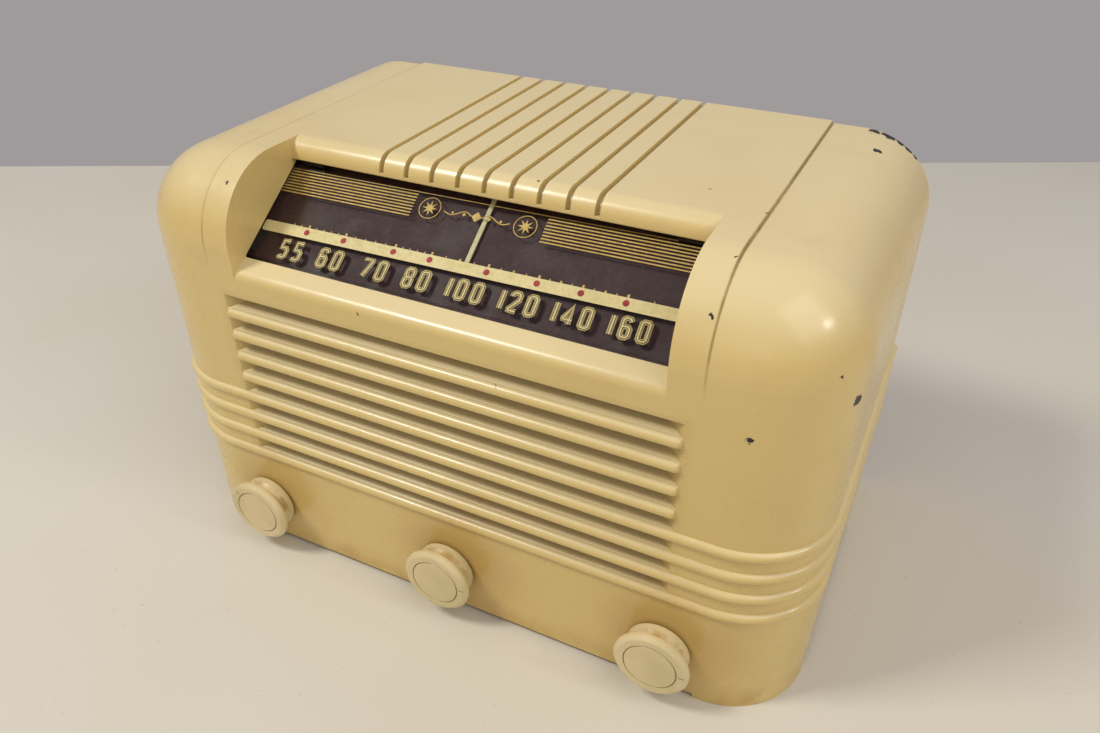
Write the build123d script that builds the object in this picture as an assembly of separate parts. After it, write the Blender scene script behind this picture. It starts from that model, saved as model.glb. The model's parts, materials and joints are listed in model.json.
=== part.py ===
from build123d import *
import math
import os

# Tabletop mains radio, late 1940s, one-piece moulded cabinet. Millimetres.
# X runs left to right, -Y faces the listener, +Z is up.
# The origin is at the centre of the footprint, on the table.
# Depths are counted backwards from the cabinet's front face.

# ---- cabinet ----
cabinet_width = 326.6
cabinet_depth = 179.2
cabinet_height = 203.2
half_width = cabinet_width / 2
wall = 3.5
corner_radius = 38.0          # vertical front corners
top_radius = 35.4             # top edge, front and sides
crease_half_width = half_width - 50.0    # raised centre of the top
crease_step = 1.2
foot_height = 2.4             # the corners stand this much lower than the skirt
foot_length = 40.0

# ---- dial recess ----
recess_half_width = half_width - 63.5
cheek_wall = 3.5
sill_depth = 9.7              # depth of the sill's inner edge
sill_inner_z = cabinet_height - 41.2
sill_fall = 20.0              # degrees
sill_edge_radius = 5.0
hood_depth = 48.2             # depth of the hood's front lip
hood_lip_z = cabinet_height - 9.3
hood_radius = 8.0
glass_angle = 35.5            # degrees above horizontal
glass_foot_z = sill_inner_z + 1.1        # glass plane at the sill's inner edge

# ---- flutes on the hood and top ----
flute_count = 9
flute_pitch = 12.7
flute_width = 2.5
flute_depth = 2.0
flute_web = 1.5               # lip left below each flute

# ---- louvres and ribs ----
bar_count = 8
rib_count = 4                 # the lowest bars run on round the cabinet
bar_pitch = 11.5
top_bar_z = cabinet_height - 66.0
bar_radius = 2.5
bar_proud = 2.0
louvre_half_width = half_width - 55.3
louvre_depth = 5.2
louvre_rise = 30.0            # degrees, slope of each slot's floor
slot_ramp = 7.5               # length of the sloped ends

# ---- knobs and shafts ----
knob_pitch = half_width - 56.7
knob_z = 25.6
knob_proud = 12.7
knob_radius = 17.0
knob_flange_radius = 14.2
knob_waist_radius = 12.3
knob_gap = 1.0
knob_groove_radius = 11.9
shaft_radius = 3.175
shaft_hole_radius = 5.0
shaft_in_knob = 9.0
shaft_flat = 0.8
run_clear = 0.05              # radial clearance of running fits
seat_clear = 0.03             # clearance of push-on fits

# ---- chassis ----
chassis_half_width = half_width - 23.3
chassis_front = 16.0
chassis_depth = 139.0
chassis_bottom = 8.0
chassis_top = 46.0
sheet = 1.2
bush_radius = 4.75
bush_clear = 0.15
screw_radius = 2.0
chassis_screw_x = chassis_half_width - 12.0
chassis_screw_inset = 14.0

# ---- dial works ----
glass_thick = 2.4
glass_clear = 0.15
glass_length = 50.9
glass_start = 0.6
plate_drop = 5.0              # plate surface below the glass plane
plate_thick = 0.8
plate_length = 53.0
plate_half_width = recess_half_width + 6.2
flange_height = 38.0
pointer_x = 1.5
pointer_width = 2.0
pointer_thick = 0.6
pointer_foot = 19.6           # lowest end, up the glass plane
pointer_lift = 1.3            # clear of the plate
pointer_travel = 158.6
rail_radius = 1.5
rail_back = 3.5               # rail axis behind the flange
cord_radius = 0.45
cord_gap = 0.05
idler_cord_radius = 7.0
idler_x = 97.0
idler_width = 4.0
cord_back = 5.5               # pointer cord plane behind the flange
cord_drop = 9.8               # pointer cord run below the flange's top
lamp_depth = 44.6
lamp_drop = 36.8              # lamp seats below the flange's top

# ---- tuning capacitor and drum ----
gang_x = 72.0
gang_z = chassis_top + 53.0
drum_cord_radius = pointer_travel / math.pi
drum_width = 10.0
groove_pitch = 5.0
groove_width = 2.4
groove_lip = 2.0
bobbin_radius = 5.0
gang_front = 76.0
gang_length = 40.0
gang_half_width = 26.0
gang_reach_up = 28.0
rotor_radius = 21.0
vane_thick = 0.8
vane_pitch = 3.2
vanes_per_section = 5
shield_thick = 0.8
insulator_thick = 1.2

# ---- speaker ----
speaker_x = -52.0
speaker_z = top_bar_z - 39.2
speaker_radius = 54.0
cone_radius = 44.5
basket_depth = 31.0
magnet_radius = 22.0
magnet_length = 19.0
cloth_thick = 0.5
baffle_thick = 3.0
baffle_half_width = half_width - 39.3

# ---- rear cover ----
cover_setback = 3.7
cover_thick = 3.0
cover_clear = 0.4
boss_inset = 4.5
vent_radius = 3.5
vent_pitch = 15.0
vent_row_z = 75.0
low_vent_z = 36.0
cover_hole_radius = 1.8
grommet_x = 22.0 - chassis_half_width
grommet_z = 28.0
grommet_bore = 3.5
grommet_wall = 2.0
antenna_width = 250.0
antenna_band = 14.0
antenna_inset = 31.3          # from the cabinet's floor and top

# ---- worked out from the above ----
front = -(cabinet_depth - knob_proud) / 2
floor_top = foot_height + wall
inner_top = cabinet_height - crease_step - wall
slope_d = math.cos(math.radians(glass_angle))
slope_z = math.sin(math.radians(glass_angle))
cover_front = cabinet_depth - cover_setback - cover_thick
chassis_back = chassis_front + chassis_depth
bar_heights = [top_bar_z - bar_pitch * i for i in range(bar_count)]
knob_places = {"volume": -knob_pitch, "tone": 0.0, "tuning": knob_pitch}


def slope_point(s, drop):
    """A point s up the glass plane from the sill and drop below it, as (depth, z)."""
    return (sill_depth + slope_d * s + slope_z * drop, glass_foot_z + slope_z * s - slope_d * drop)


flange_depth, flange_top = slope_point(plate_length, plate_drop)
flange_back = flange_depth + plate_thick
rail_depth = flange_back + rail_back
rail_z = flange_top - 5.8
cord_depth = flange_back + cord_back
cord_run_z = flange_top - cord_drop
idler_z = cord_run_z - idler_cord_radius
centre_idler_x = gang_x - drum_cord_radius - idler_cord_radius
centre_idler_z = idler_z - 2 * idler_cord_radius
drive_depth = cord_depth + groove_pitch
drum_front = cord_depth - (drum_width - groove_pitch) / 2
drum_root = drum_cord_radius - cord_radius - cord_gap
bobbin_cord_radius = bobbin_radius + cord_radius + cord_gap


# ---- helpers ----
def block(x0, x1, d0, d1, z0, z1):
    size = (x1 - x0, d1 - d0, z1 - z0)
    return Pos((x0 + x1) / 2, front + (d0 + d1) / 2, (z0 + z1) / 2) * Box(*size)


def rod(x, z, d0, d1, radius):
    """A round bar along Y."""
    start = Plane(origin=(x, front + d0, z), x_dir=(1, 0, 0), z_dir=(0, 1, 0))
    return extrude(start * Circle(radius), amount=d1 - d0)


def post(x, d, z0, z1, radius):
    """A round bar along Z."""
    return extrude(Pos(x, front + d, z0) * Circle(radius), amount=z1 - z0)


def bar_x(x0, x1, d, z, radius):
    """A round bar along X."""
    start = Plane(origin=(x0, front + d, z), x_dir=(0, 1, 0), z_dir=(1, 0, 0))
    return extrude(start * Circle(radius), amount=x1 - x0)


def outline(points, rounds=()):
    """A closed flat face in (first, second), with the named corners rounded."""
    face = make_face(Polyline(*points, close=True))
    for corner, radius in rounds:
        near = face.vertices().sort_by_distance(Vector(corner[0], corner[1], 0))[0]
        face = fillet(near, radius)
    return face


def side_slab(points, x0, x1, rounds=()):
    """A (depth, z) outline, extruded across from x0 to x1."""
    plane = Plane(origin=(x0, front, 0), x_dir=(0, 1, 0), z_dir=(1, 0, 0))
    return extrude(plane * outline(points, rounds), amount=x1 - x0)


def plan_slab(points, z0, z1):
    """An (x, depth) outline, extruded up from z0 to z1."""
    return extrude(Pos(0, front, z0) * outline(points), amount=z1 - z0)


def face_slab(face, d0, d1):
    """A face drawn in (x, z), extruded back from depth d0 to d1."""
    plane = Plane(origin=(0, front + d0, 0), x_dir=(1, 0, 0), z_dir=(0, -1, 0))
    return extrude(plane * face, amount=-(d1 - d0))


def turned(points, x, z):
    """A closed (radius, depth) outline turned about the Y line through (x, z)."""
    plane = Plane(origin=(x, front, z), x_dir=(1, 0, 0), z_dir=(0, 0, 1))
    face = plane * make_face(Polyline(*points, close=True))
    return revolve(face, axis=Axis((x, front, z), (0, 1, 0)))


def turned_up(points, x, d):
    """A closed (radius, z) outline turned about the vertical line through (x, d)."""
    plane = Plane(origin=(x, front + d, 0), x_dir=(1, 0, 0), z_dir=(0, -1, 0))
    face = plane * make_face(Polyline(*points, close=True))
    return revolve(face, axis=Axis((x, front + d, 0), (0, 0, 1)))


def slope_slab(x0, x1, s0, s1, drop0, drop1):
    """A box lying along the glass plane."""
    corners = [slope_point(s0, drop0), slope_point(s1, drop0), slope_point(s1, drop1), slope_point(s0, drop1)]
    return side_slab(corners, x0, x1)


def ribbon(points, thick):
    """The outline of a bent strip of the given thickness about a centre line."""
    left, right = [], []
    for i, (a, b) in enumerate(points):
        before = points[max(i - 1, 0)]
        after = points[min(i + 1, len(points) - 1)]
        into = (a - before[0], b - before[1]) if i > 0 else (after[0] - a, after[1] - b)
        out = (after[0] - a, after[1] - b) if i < len(points) - 1 else into
        into = Vector(*into).normalized()
        out = Vector(*out).normalized()
        normal_in = Vector(-into.Y, into.X)
        mitre = (normal_in + Vector(-out.Y, out.X)).normalized()
        reach = thick / 2 / mitre.dot(normal_in)
        left.append((a + mitre.X * reach, b + mitre.Y * reach))
        right.append((a - mitre.X * reach, b - mitre.Y * reach))
    return left + right[::-1]


def save(shape, name):
    shape.label = name
    export_step(shape, f"parts/{name}.step")


def rounded_body(half, near, far, z0, z1, side_radius, edge_radius):
    """A block with round vertical front corners and a round top edge, square at the back."""
    body = block(-half, half, near, far, z0, z1)
    upright = body.edges().filter_by(Axis.Z).sort_by(Axis.Y)[:2]
    body = fillet(upright, side_radius)
    top_edges = body.faces().sort_by(Axis.Z)[-1].edges()
    rear = top_edges.sort_by(lambda e: e.center().Y)[-1]
    return fillet([e for e in top_edges if e.center() != rear.center()], edge_radius)


# ---- cabinet ----
def outer_body():
    body = rounded_body(half_width, 0, cabinet_depth, 0, cabinet_height - crease_step, corner_radius, top_radius)
    centre_profile = [(0, cabinet_height / 2), (0, cabinet_height), (cabinet_depth, cabinet_height),
                      (cabinet_depth, cabinet_height / 2)]
    centre = side_slab(centre_profile, -crease_half_width, crease_half_width, [((0, cabinet_height), top_radius)])
    return body + centre


def dial_bezel(body):
    """Solid cheeks, sill and hood round the dial, kept inside the outer shape."""
    plane_at_hood = slope_point((hood_depth - sill_depth) / slope_d, 0)
    under = [(-10, sill_inner_z - 10), (wall, sill_inner_z - 10), (sill_depth, sill_inner_z - 3.8),
             slope_point(0, 0), plane_at_hood, slope_point(plate_length, 0), (hood_depth + 14, hood_lip_z),
             (hood_depth + 14, cabinet_height + 5), (-10, cabinet_height + 5)]
    reach = recess_half_width + cheek_wall
    return body & side_slab(under, -reach, reach)


def recess_cut():
    fall = math.tan(math.radians(sill_fall))
    sill_front_z = sill_inner_z - sill_depth * fall
    above = cabinet_height + 10
    points = [(-10, sill_front_z), (0, sill_front_z), (sill_depth, sill_inner_z), (sill_depth, sill_inner_z - 25),
              (hood_depth + 20, sill_inner_z - 25), (hood_depth + 20, hood_lip_z), (hood_depth, hood_lip_z),
              (hood_depth, cabinet_height), (hood_depth + hood_radius, cabinet_height),
              (hood_depth + hood_radius, above), (-10, above)]
    cutter = side_slab(points, -recess_half_width, recess_half_width)
    edge = [(0, sill_front_z), (0, sill_front_z - 20), (20, sill_front_z - 20), (20, sill_front_z + 20 * fall)]
    sharp = side_slab(edge, -recess_half_width, recess_half_width)
    soft = side_slab(edge, -recess_half_width, recess_half_width, [(edge[0], sill_edge_radius)])
    lip = [(hood_depth, hood_lip_z), (hood_depth, cabinet_height), (hood_depth + 20, cabinet_height),
           (hood_depth + 20, hood_lip_z)]
    square_lip = side_slab(lip, -recess_half_width, recess_half_width)
    round_lip = side_slab(lip, -recess_half_width, recess_half_width, [(lip[1], hood_radius), (lip[0], 0.7)])
    return cutter + (sharp - soft) + (square_lip - round_lip)


def flute_cut(x):
    """A groove that follows the hood's round edge and runs out at the back."""
    near = hood_depth + flute_depth
    top = cabinet_height - flute_depth
    low = hood_lip_z - hood_radius
    points = [(near, low), (near, top), (cabinet_depth + 5, top), (cabinet_depth + 5, top + 10),
              (hood_depth - 10, top + 10), (hood_depth - 10, low)]
    x0 = x - flute_width / 2
    x1 = x + flute_width / 2
    groove = side_slab(points, x0, x1, [((near, top), hood_radius - flute_depth)])
    return groove - block(x0 - 1, x1 + 1, 0, near + 5, low - 5, hood_lip_z + flute_web)


def slot_cut(z):
    """The slot above the bar at z: its floor climbs inwards and its ends are sloped."""
    reach = louvre_depth + 1
    rise = reach * math.tan(math.radians(louvre_rise))
    floor = z + 0.8 * bar_radius
    ceiling = z + bar_pitch - bar_radius
    section = [(-5, floor), (0, floor), (reach, floor + rise), (reach, ceiling + 0.4), (-5, ceiling)]
    band = side_slab(section, -louvre_half_width - 5, louvre_half_width + 5)
    taper = slot_ramp / louvre_depth
    ends = [(-louvre_half_width, 0), (-louvre_half_width - 5 * taper, -5), (louvre_half_width + 5 * taper, -5),
            (louvre_half_width, 0), (louvre_half_width - reach * taper, reach),
            (-louvre_half_width + reach * taper, reach)]
    return band & plan_slab(ends, z - bar_pitch, z + 2 * bar_pitch)


def short_bar(z):
    depth = bar_radius - bar_proud
    end = louvre_half_width - bar_radius
    bar = bar_x(-end, end, depth, z, bar_radius)
    for x in (-end, end):
        bar += Pos(x, front + depth, z) * Sphere(bar_radius)
    return bar


def long_rib(z):
    inset = bar_radius - bar_proud
    x = half_width - inset
    near = front + inset
    rear = front + cabinet_depth
    path = FilletPolyline((x, rear, z), (x, near, z), (-x, near, z), (-x, rear, z), radius=corner_radius - inset)
    start = Plane(origin=(x, rear, z), x_dir=(1, 0, 0), z_dir=(0, -1, 0))
    return sweep(start * Circle(bar_radius), path=path)


def chassis_screw_places():
    ends = (chassis_front + chassis_screw_inset, chassis_back - chassis_screw_inset)
    return [(x, d) for x in (-chassis_screw_x, chassis_screw_x) for d in ends]


def cover_screw_places():
    side = half_width - wall - boss_inset
    high = inner_top - 48.5
    return [(side, 32), (side, high), (-side, 32), (-side, high), (0, inner_top - boss_inset)]


def baffle_screw_places():
    reach = baffle_half_width - 6
    heights = (bar_heights[-1] + 5.3, top_bar_z + 4.8)
    return [(x, z) for x in (-reach, reach) for z in heights]


def cabinet():
    outer = outer_body()
    hollow = rounded_body(half_width - wall, wall, cabinet_depth + 50, floor_top, inner_top,
                          corner_radius - wall, top_radius - wall)
    shell = outer - hollow
    shell -= block(-half_width, half_width, wall, cabinet_depth + 5, -5, foot_height) & inner_prism()
    shell += dial_bezel(outer)
    shell += block(-louvre_half_width - 4, louvre_half_width + 4, wall / 2, louvre_depth,
                   bar_heights[-1] - 2 * bar_radius, top_bar_z + bar_pitch + bar_radius)
    shell -= recess_cut()
    for i in range(flute_count):
        shell -= flute_cut((i - (flute_count - 1) / 2) * flute_pitch)
    for z in bar_heights:
        shell -= slot_cut(z)
    for z in bar_heights[:bar_count - rib_count]:
        shell += short_bar(z)
    for z in bar_heights[bar_count - rib_count:]:
        shell += long_rib(z)
    skirt_x = half_width - foot_length
    shell -= block(-skirt_x, skirt_x, -5, cabinet_depth + 5, -1, foot_height)
    shell -= block(-half_width - 5, half_width + 5, foot_length, cabinet_depth - foot_length, -1, foot_height)
    for x, d in chassis_screw_places():
        shell += post(x, d, floor_top - 1, chassis_bottom, 6)
        shell -= post(x, d, -1, chassis_bottom + 1, screw_radius + 0.3)
    for x, z in cover_screw_places():
        shell += rod(x, z, cover_front - 20, cover_front, 5)
        shell -= rod(x, z, cover_front - 12, cover_front + 1, 1.5)
    for x, z in baffle_screw_places():
        shell += rod(x, z, wall - 1, louvre_depth + cloth_thick, 4)
        shell -= rod(x, z, 2, louvre_depth + cloth_thick + 1, 1.5)
    for x in knob_places.values():
        shell -= rod(x, knob_z, -5, wall + 2, shaft_hole_radius)
    return shell


def inner_prism():
    """The space under the floor, inside the walls."""
    prism = block(-half_width + wall, half_width - wall, wall, cabinet_depth + 5, -5, foot_height)
    return fillet(prism.edges().filter_by(Axis.Z).sort_by(Axis.Y)[:2], corner_radius - wall)


def rear_cover():
    corner = top_radius - wall
    side = half_width - wall - cover_clear
    low = floor_top + cover_clear
    high = inner_top - cover_clear
    points = [(-side, low), (side, low), (side, high), (-side, high)]
    face = outline(points, [(points[2], corner), (points[3], corner)])
    cover = face_slab(face, cover_front, cover_front + cover_thick)
    vents = [((column - 6) * vent_pitch, vent_row_z + vent_pitch * row) for row in range(5) for column in range(13)]
    vents += [((column - 5) * vent_pitch, low_vent_z) for column in range(13)]
    holes = [(x, z, vent_radius) for x, z in vents]
    holes += [(x, z, cover_hole_radius) for x, z in cover_screw_places()]
    holes.append((grommet_x, grommet_z, grommet_bore + grommet_wall))
    for x, z, radius in holes:
        cover -= rod(x, z, cover_front - 1, cover_front + cover_thick + 1, radius)
    return cover


def cord_grommet():
    lip = grommet_bore + 4.5
    neck = grommet_bore + grommet_wall
    back = cover_front + cover_thick
    points = [(grommet_bore, cover_front - 1.5), (lip, cover_front - 1.5), (lip, cover_front), (neck, cover_front),
              (neck, back), (lip, back), (lip, back + 1.5), (grommet_bore, back + 1.5)]
    return turned(points, grommet_x, grommet_z)


def pan_screw(x, z, seat, head_radius, head_height, shank_radius, length):
    """A screw driven forwards, its head resting on the plane at depth seat."""
    head = rod(x, z, seat, seat + head_height, head_radius)
    slot = block(x - head_radius, x + head_radius, seat + head_height / 2, seat + head_height + 1, z - 0.5, z + 0.5)
    return head - slot + rod(x, z, seat - length, seat, shank_radius)


def group(pieces):
    return Compound(children=[Compound(p.solids()) if len(p.solids()) > 1 else p.solids()[0] for p in pieces])


# ---- knobs and controls ----
def flat_shaft(x, far, grow=0.0):
    """The shaft's front end with its flat, enlarged by grow for the bore that takes it."""
    tip = knob_gap + shaft_in_knob
    shaft = rod(x, knob_z, -tip - grow, far, shaft_radius + grow)
    flat_z = knob_z + shaft_radius - shaft_flat + grow
    return shaft - block(x - 5, x + 5, -tip - 1, -knob_gap, flat_z, flat_z + 5)


def knob(x):
    rim = 1.6
    face_depth = -knob_proud
    back = -knob_gap
    profile = [(0, back), (knob_flange_radius - 0.6, back), (knob_flange_radius, back - 0.6),
               (knob_flange_radius, back - 2.3), (knob_flange_radius - 0.7, back - 3.0),
               (knob_waist_radius + 0.4, back - 4.2), (knob_waist_radius, back - 5.4),
               (knob_waist_radius + 0.9, back - 6.8), (knob_radius - 1.0, back - 8.0),
               (knob_radius, back - 8.8), (knob_radius, face_depth + rim), (knob_radius - rim, face_depth),
               (knob_groove_radius + 0.35, face_depth), (knob_groove_radius, face_depth + 0.6),
               (knob_groove_radius - 0.35, face_depth), (0, face_depth)]
    plane = Plane(origin=(x, front, knob_z), x_dir=(1, 0, 0), z_dir=(0, 0, 1))
    face = make_face(Polyline(*profile, close=True))
    near = face.vertices().sort_by_distance(Vector(knob_radius - rim, face_depth, 0))[0]
    face = fillet(near, 1.2)
    body = revolve(plane * face, axis=Axis((x, front, knob_z), (0, 1, 0)))
    return body - flat_shaft(x, 5, seat_clear)


def control_shaft(x):
    rear = chassis_front + sheet
    wiper = rod(x, knob_z, rear + 2.8, rear + 4.3, 9)
    return flat_shaft(x, rear + 4.3) + wiper


def control_body(x, switch_length):
    rear = chassis_front + sheet
    body = rod(x, knob_z, rear, rear + 11, 12)
    if switch_length > 0:
        body += rod(x, knob_z, rear + 11, rear + 11 + switch_length, 11)
    body += rod(x, knob_z, rear - 7, rear, bush_radius)
    for i in (-1, 0, 1):
        body += block(x + 5 * i - 1, x + 5 * i + 1, rear + 1, rear + 1.8, knob_z - 16, knob_z - 9)
    body -= rod(x, knob_z, rear - 8, rear + 3, shaft_radius + run_clear)
    return body - rod(x, knob_z, rear + 2.2, rear + 4.9, 9.6)


def tuning_bush():
    rear = chassis_front + sheet
    bush = rod(knob_pitch, knob_z, rear - 7, rear + 10, bush_radius) + rod(knob_pitch, knob_z, rear, rear + 2, 7)
    return bush - rod(knob_pitch, knob_z, rear - 8, rear + 11, shaft_radius + run_clear)


def hex_nut(x):
    plane = Plane(origin=(x, front + chassis_front - 2.6, knob_z), x_dir=(1, 0, 0), z_dir=(0, 1, 0))
    nut = extrude(plane * RegularPolygon(radius=7.3, side_count=6), amount=2.6)
    return nut - rod(x, knob_z, chassis_front - 4, chassis_front + 1, bush_radius)


def tuning_shaft():
    x = knob_pitch
    shaft = flat_shaft(x, drive_depth + 9)
    shaft += rod(x, knob_z, drive_depth - 2.6, drive_depth + 2.6, bobbin_radius)
    shaft += rod(x, knob_z, drive_depth - 2.6, drive_depth - 1.6, bobbin_radius + 2.5)
    shaft += rod(x, knob_z, drive_depth + 1.6, drive_depth + 2.6, bobbin_radius + 2.5)
    return shaft + rod(x, knob_z, chassis_front + sheet + 10.2, chassis_front + sheet + 11.4, 5)


# ---- chassis ----
tube_places = {"converter": (122, 92), "if": (14, 94), "detector": (-25, 94), "output": (-64, 96),
               "rectifier": (-103, 96)}
tube_heights = {"converter": 52, "if": 52, "detector": 52, "output": 58, "rectifier": 54}
can_places = {"if_can_1": (120, 134), "if_can_2": (30, 134)}
socket_body_radius = 14.0
filter_place = (-120, 134)
transformer_place = (-66, 136)


def chassis():
    half = chassis_half_width
    shell = block(-half, half, chassis_front, chassis_back, chassis_bottom, chassis_top)
    shell -= block(-half + sheet, half - sheet, chassis_front + sheet, chassis_back - sheet,
                   chassis_bottom - 1, chassis_top - sheet)
    for x, d in chassis_screw_places():
        side = math.copysign(1, x)
        edges = sorted((side * (half - 24), side * (half - sheet / 2)))
        shell += block(edges[0], edges[1], d - 9, d + 9, chassis_bottom, chassis_bottom + sheet)
        shell -= post(x, d, chassis_bottom - 1, chassis_bottom + 3, screw_radius)
    tab_depth = drive_depth + 5
    shell += block(knob_pitch - 9, knob_pitch + 9, tab_depth, tab_depth + sheet, knob_z - 9, chassis_top - sheet / 2)
    shell -= rod(knob_pitch, knob_z, tab_depth - 1, tab_depth + 3, shaft_radius + run_clear)
    slot_left = gang_x - 0.3 * drum_cord_radius
    shell -= block(slot_left, knob_pitch + 14, drive_depth - 3, drive_depth + 3, chassis_top - 5, chassis_top + 1)
    for x in knob_places.values():
        shell -= rod(x, knob_z, chassis_front - 1, chassis_front + 3, bush_radius + bush_clear)
    for x, d in tube_places.values():
        shell -= post(x, d, chassis_top - 4, chassis_top + 1, socket_body_radius + 0.2)
    return shell - rod(grommet_x, grommet_z, chassis_back - 3, chassis_back + 1, grommet_bore + grommet_wall)


def chassis_screw(x, d):
    head = post(x, d, foot_height - 2, foot_height, 4)
    head -= block(x - 4, x + 4, d - 0.6, d + 0.6, foot_height - 3, foot_height - 1)
    return head + post(x, d, foot_height, chassis_bottom + 4, screw_radius)


def tube_socket(x, d):
    socket = post(x, d, chassis_top, chassis_top + 1.5, 17) + post(x, d, chassis_top - 9, chassis_top, socket_body_radius)
    for i in range(8):
        turn = math.radians(45 * i + 22.5)
        socket -= post(x + 8.7 * math.cos(turn), d + 8.7 * math.sin(turn), chassis_top - 12, chassis_top + 3, 1.35)
    return socket - post(x, d, chassis_top - 12, chassis_top + 3, 4.2)


def tube_base(x, d):
    seat = chassis_top + 1.5
    base = post(x, d, seat, seat + 14, 16) - post(x, d, seat + 6, seat + 15, 14.6)
    for i in range(8):
        turn = math.radians(45 * i + 22.5)
        base += post(x + 8.7 * math.cos(turn), d + 8.7 * math.sin(turn), seat - 10, seat + 1, 1.15)
    return base + post(x, d, seat - 11, seat + 1, 3.9)


def tube_bulb(x, d, height):
    seat = chassis_top + 7.6
    outer_r = 14.5
    top = seat + height
    outer = [(0, seat), (outer_r - 2, seat), (outer_r, seat + 2), (outer_r, top - 9), (outer_r - 1.6, top - 4.5),
             (outer_r - 5, top - 1.4), (5, top), (0, top)]
    inner = [(0, seat + 1), (outer_r - 2.5, seat + 1), (outer_r - 1, seat + 2.5), (outer_r - 1, top - 9.2),
             (outer_r - 2.5, top - 5.1), (outer_r - 5.5, top - 2.4), (4.8, top - 1), (0, top - 1)]
    return turned_up(outer, x, d) - turned_up(inner, x, d)


def if_can(x, d):
    can = fillet(block(x - 16, x + 16, d - 16, d + 16, chassis_top, chassis_top + 62).edges().filter_by(Axis.Z), 3)
    can -= block(x - 15.2, x + 15.2, d - 15.2, d + 15.2, chassis_top - 1, chassis_top + 61.2)
    for step in (-7, 7):
        can -= post(x + step, d, chassis_top + 60, chassis_top + 63, 2.4)
    return can


def filter_capacitor():
    x, d = filter_place
    points = [(0, chassis_top), (16.5, chassis_top), (16.5, chassis_top + 2), (15, chassis_top + 3),
              (15, chassis_top + 50), (13.8, chassis_top + 51.5), (0, chassis_top + 51.5)]
    return turned_up(points, x, d)


def transformer_core():
    x, d = transformer_place
    core = block(x - 22, x + 22, d - 8, d + 8, chassis_top, chassis_top + 36)
    for side in (-1, 1):
        a, b = sorted((x + side * 6, x + side * 15))
        core -= block(a, b, d - 9, d + 9, chassis_top + 7, chassis_top + 29)
    return core


def transformer_coil():
    x, d = transformer_place
    coil = block(x - 14.8, x + 14.8, d - 15, d + 15, chassis_top + 7.2, chassis_top + 28.8)
    return coil - block(x - 6.2, x + 6.2, d - 8.2, d + 8.2, chassis_top + 5, chassis_top + 31)


def oscillator_coil():
    ring = post(60, 120, chassis_bottom + 12, chassis_top - sheet, 7) - post(60, 120, 0, chassis_top, 5.5)
    return ring + post(60, 120, chassis_bottom + 18, chassis_bottom + 26, 10) - post(60, 120, 0, chassis_top, 5.5)


# ---- dial works ----
def dial_plate():
    half = plate_half_width
    plate = slope_slab(-half, half, 0, plate_length, plate_drop, plate_drop + plate_thick)
    plate += block(-half, half, flange_depth, flange_back, flange_top - flange_height, flange_top)
    for x, z in idler_places().values():
        plate += rod(x, z, flange_depth, cord_depth + idler_width / 2 + 1.3, 1.5)
        plate += rod(x, z, flange_depth, cord_depth - idler_width / 2 - 0.2, 3)
        plate += rod(x, z, cord_depth + idler_width / 2 + 0.3, cord_depth + idler_width / 2 + 1.3, 2.6)
    return plate


def idler_places():
    return {"idler_left": (-idler_x, idler_z), "idler_right": (idler_x, idler_z),
            "idler_centre": (centre_idler_x, centre_idler_z)}


def idler(x, z):
    root = idler_cord_radius - cord_radius - cord_gap
    near = cord_depth - idler_width / 2
    pulley = rod(x, z, near, near + idler_width, root + 2)
    groove = rod(x, z, cord_depth - 0.9, cord_depth + 0.9, root + 3) - rod(x, z, near, near + idler_width, root)
    return pulley - groove - rod(x, z, near - 1, near + idler_width + 1, 1.5 + run_clear)


def pointer_rail():
    end = idler_x - 5
    rail = bar_x(-end, end, rail_depth, rail_z, rail_radius)
    for x in (-end, end):
        rail += rod(x, rail_z, flange_back, rail_depth, rail_radius)
    return rail


def pointer():
    block_back = cord_depth + 2.4
    carriage = block(pointer_x - 7, pointer_x + 7, rail_depth - 1.9, block_back, cord_run_z - 2.2, rail_z + 3.2)
    carriage -= bar_x(pointer_x - 10, pointer_x + 10, rail_depth, rail_z, rail_radius + run_clear)
    carriage -= block(pointer_x - 10, pointer_x + 10, cord_depth - 0.7, block_back + 1, cord_run_z - 0.7,
                      cord_run_z + 0.7)
    arm_depth = rail_depth - 1.9 + pointer_thick / 2
    bend = slope_point(plate_length + 2, plate_drop - pointer_lift)
    foot = slope_point(pointer_foot, plate_drop - pointer_lift)
    arm = [(arm_depth, rail_z + 2), (arm_depth, bend[1]), bend, foot]
    return carriage + side_slab(ribbon(arm, pointer_thick), pointer_x - pointer_width / 2,
                                pointer_x + pointer_width / 2)


def dial_glass():
    half = recess_half_width + cheek_wall - 1
    return slope_slab(-half, half, glass_start, glass_start + glass_length, glass_clear, glass_clear + glass_thick)


def dial_clips():
    under = glass_clear + glass_thick
    top = glass_start + glass_length
    half = recess_half_width + cheek_wall - 1
    clips = []
    for side in (-1, 1):
        a, b = sorted((side * 84, side * 94))
        hook = slope_slab(a, b, top - 4, top, under, plate_drop)
        hook += slope_slab(a, b, top, top + 0.8, glass_clear - 0.7, plate_drop)
        hook += slope_slab(a, b, top - 2, top + 0.8, glass_clear - 0.7, glass_clear)
        clips.append(hook)
        a, b = sorted((side * (half - 2.4), side * (half + 0.8)))
        wall_a, wall_b = sorted((side * half, side * (half + 0.8)))
        rest = slope_slab(a, b, 4, 14, under, plate_drop)
        clips.append(rest + slope_slab(wall_a, wall_b, 4, 14, glass_clear + 0.1, under))
    return group(clips)


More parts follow.
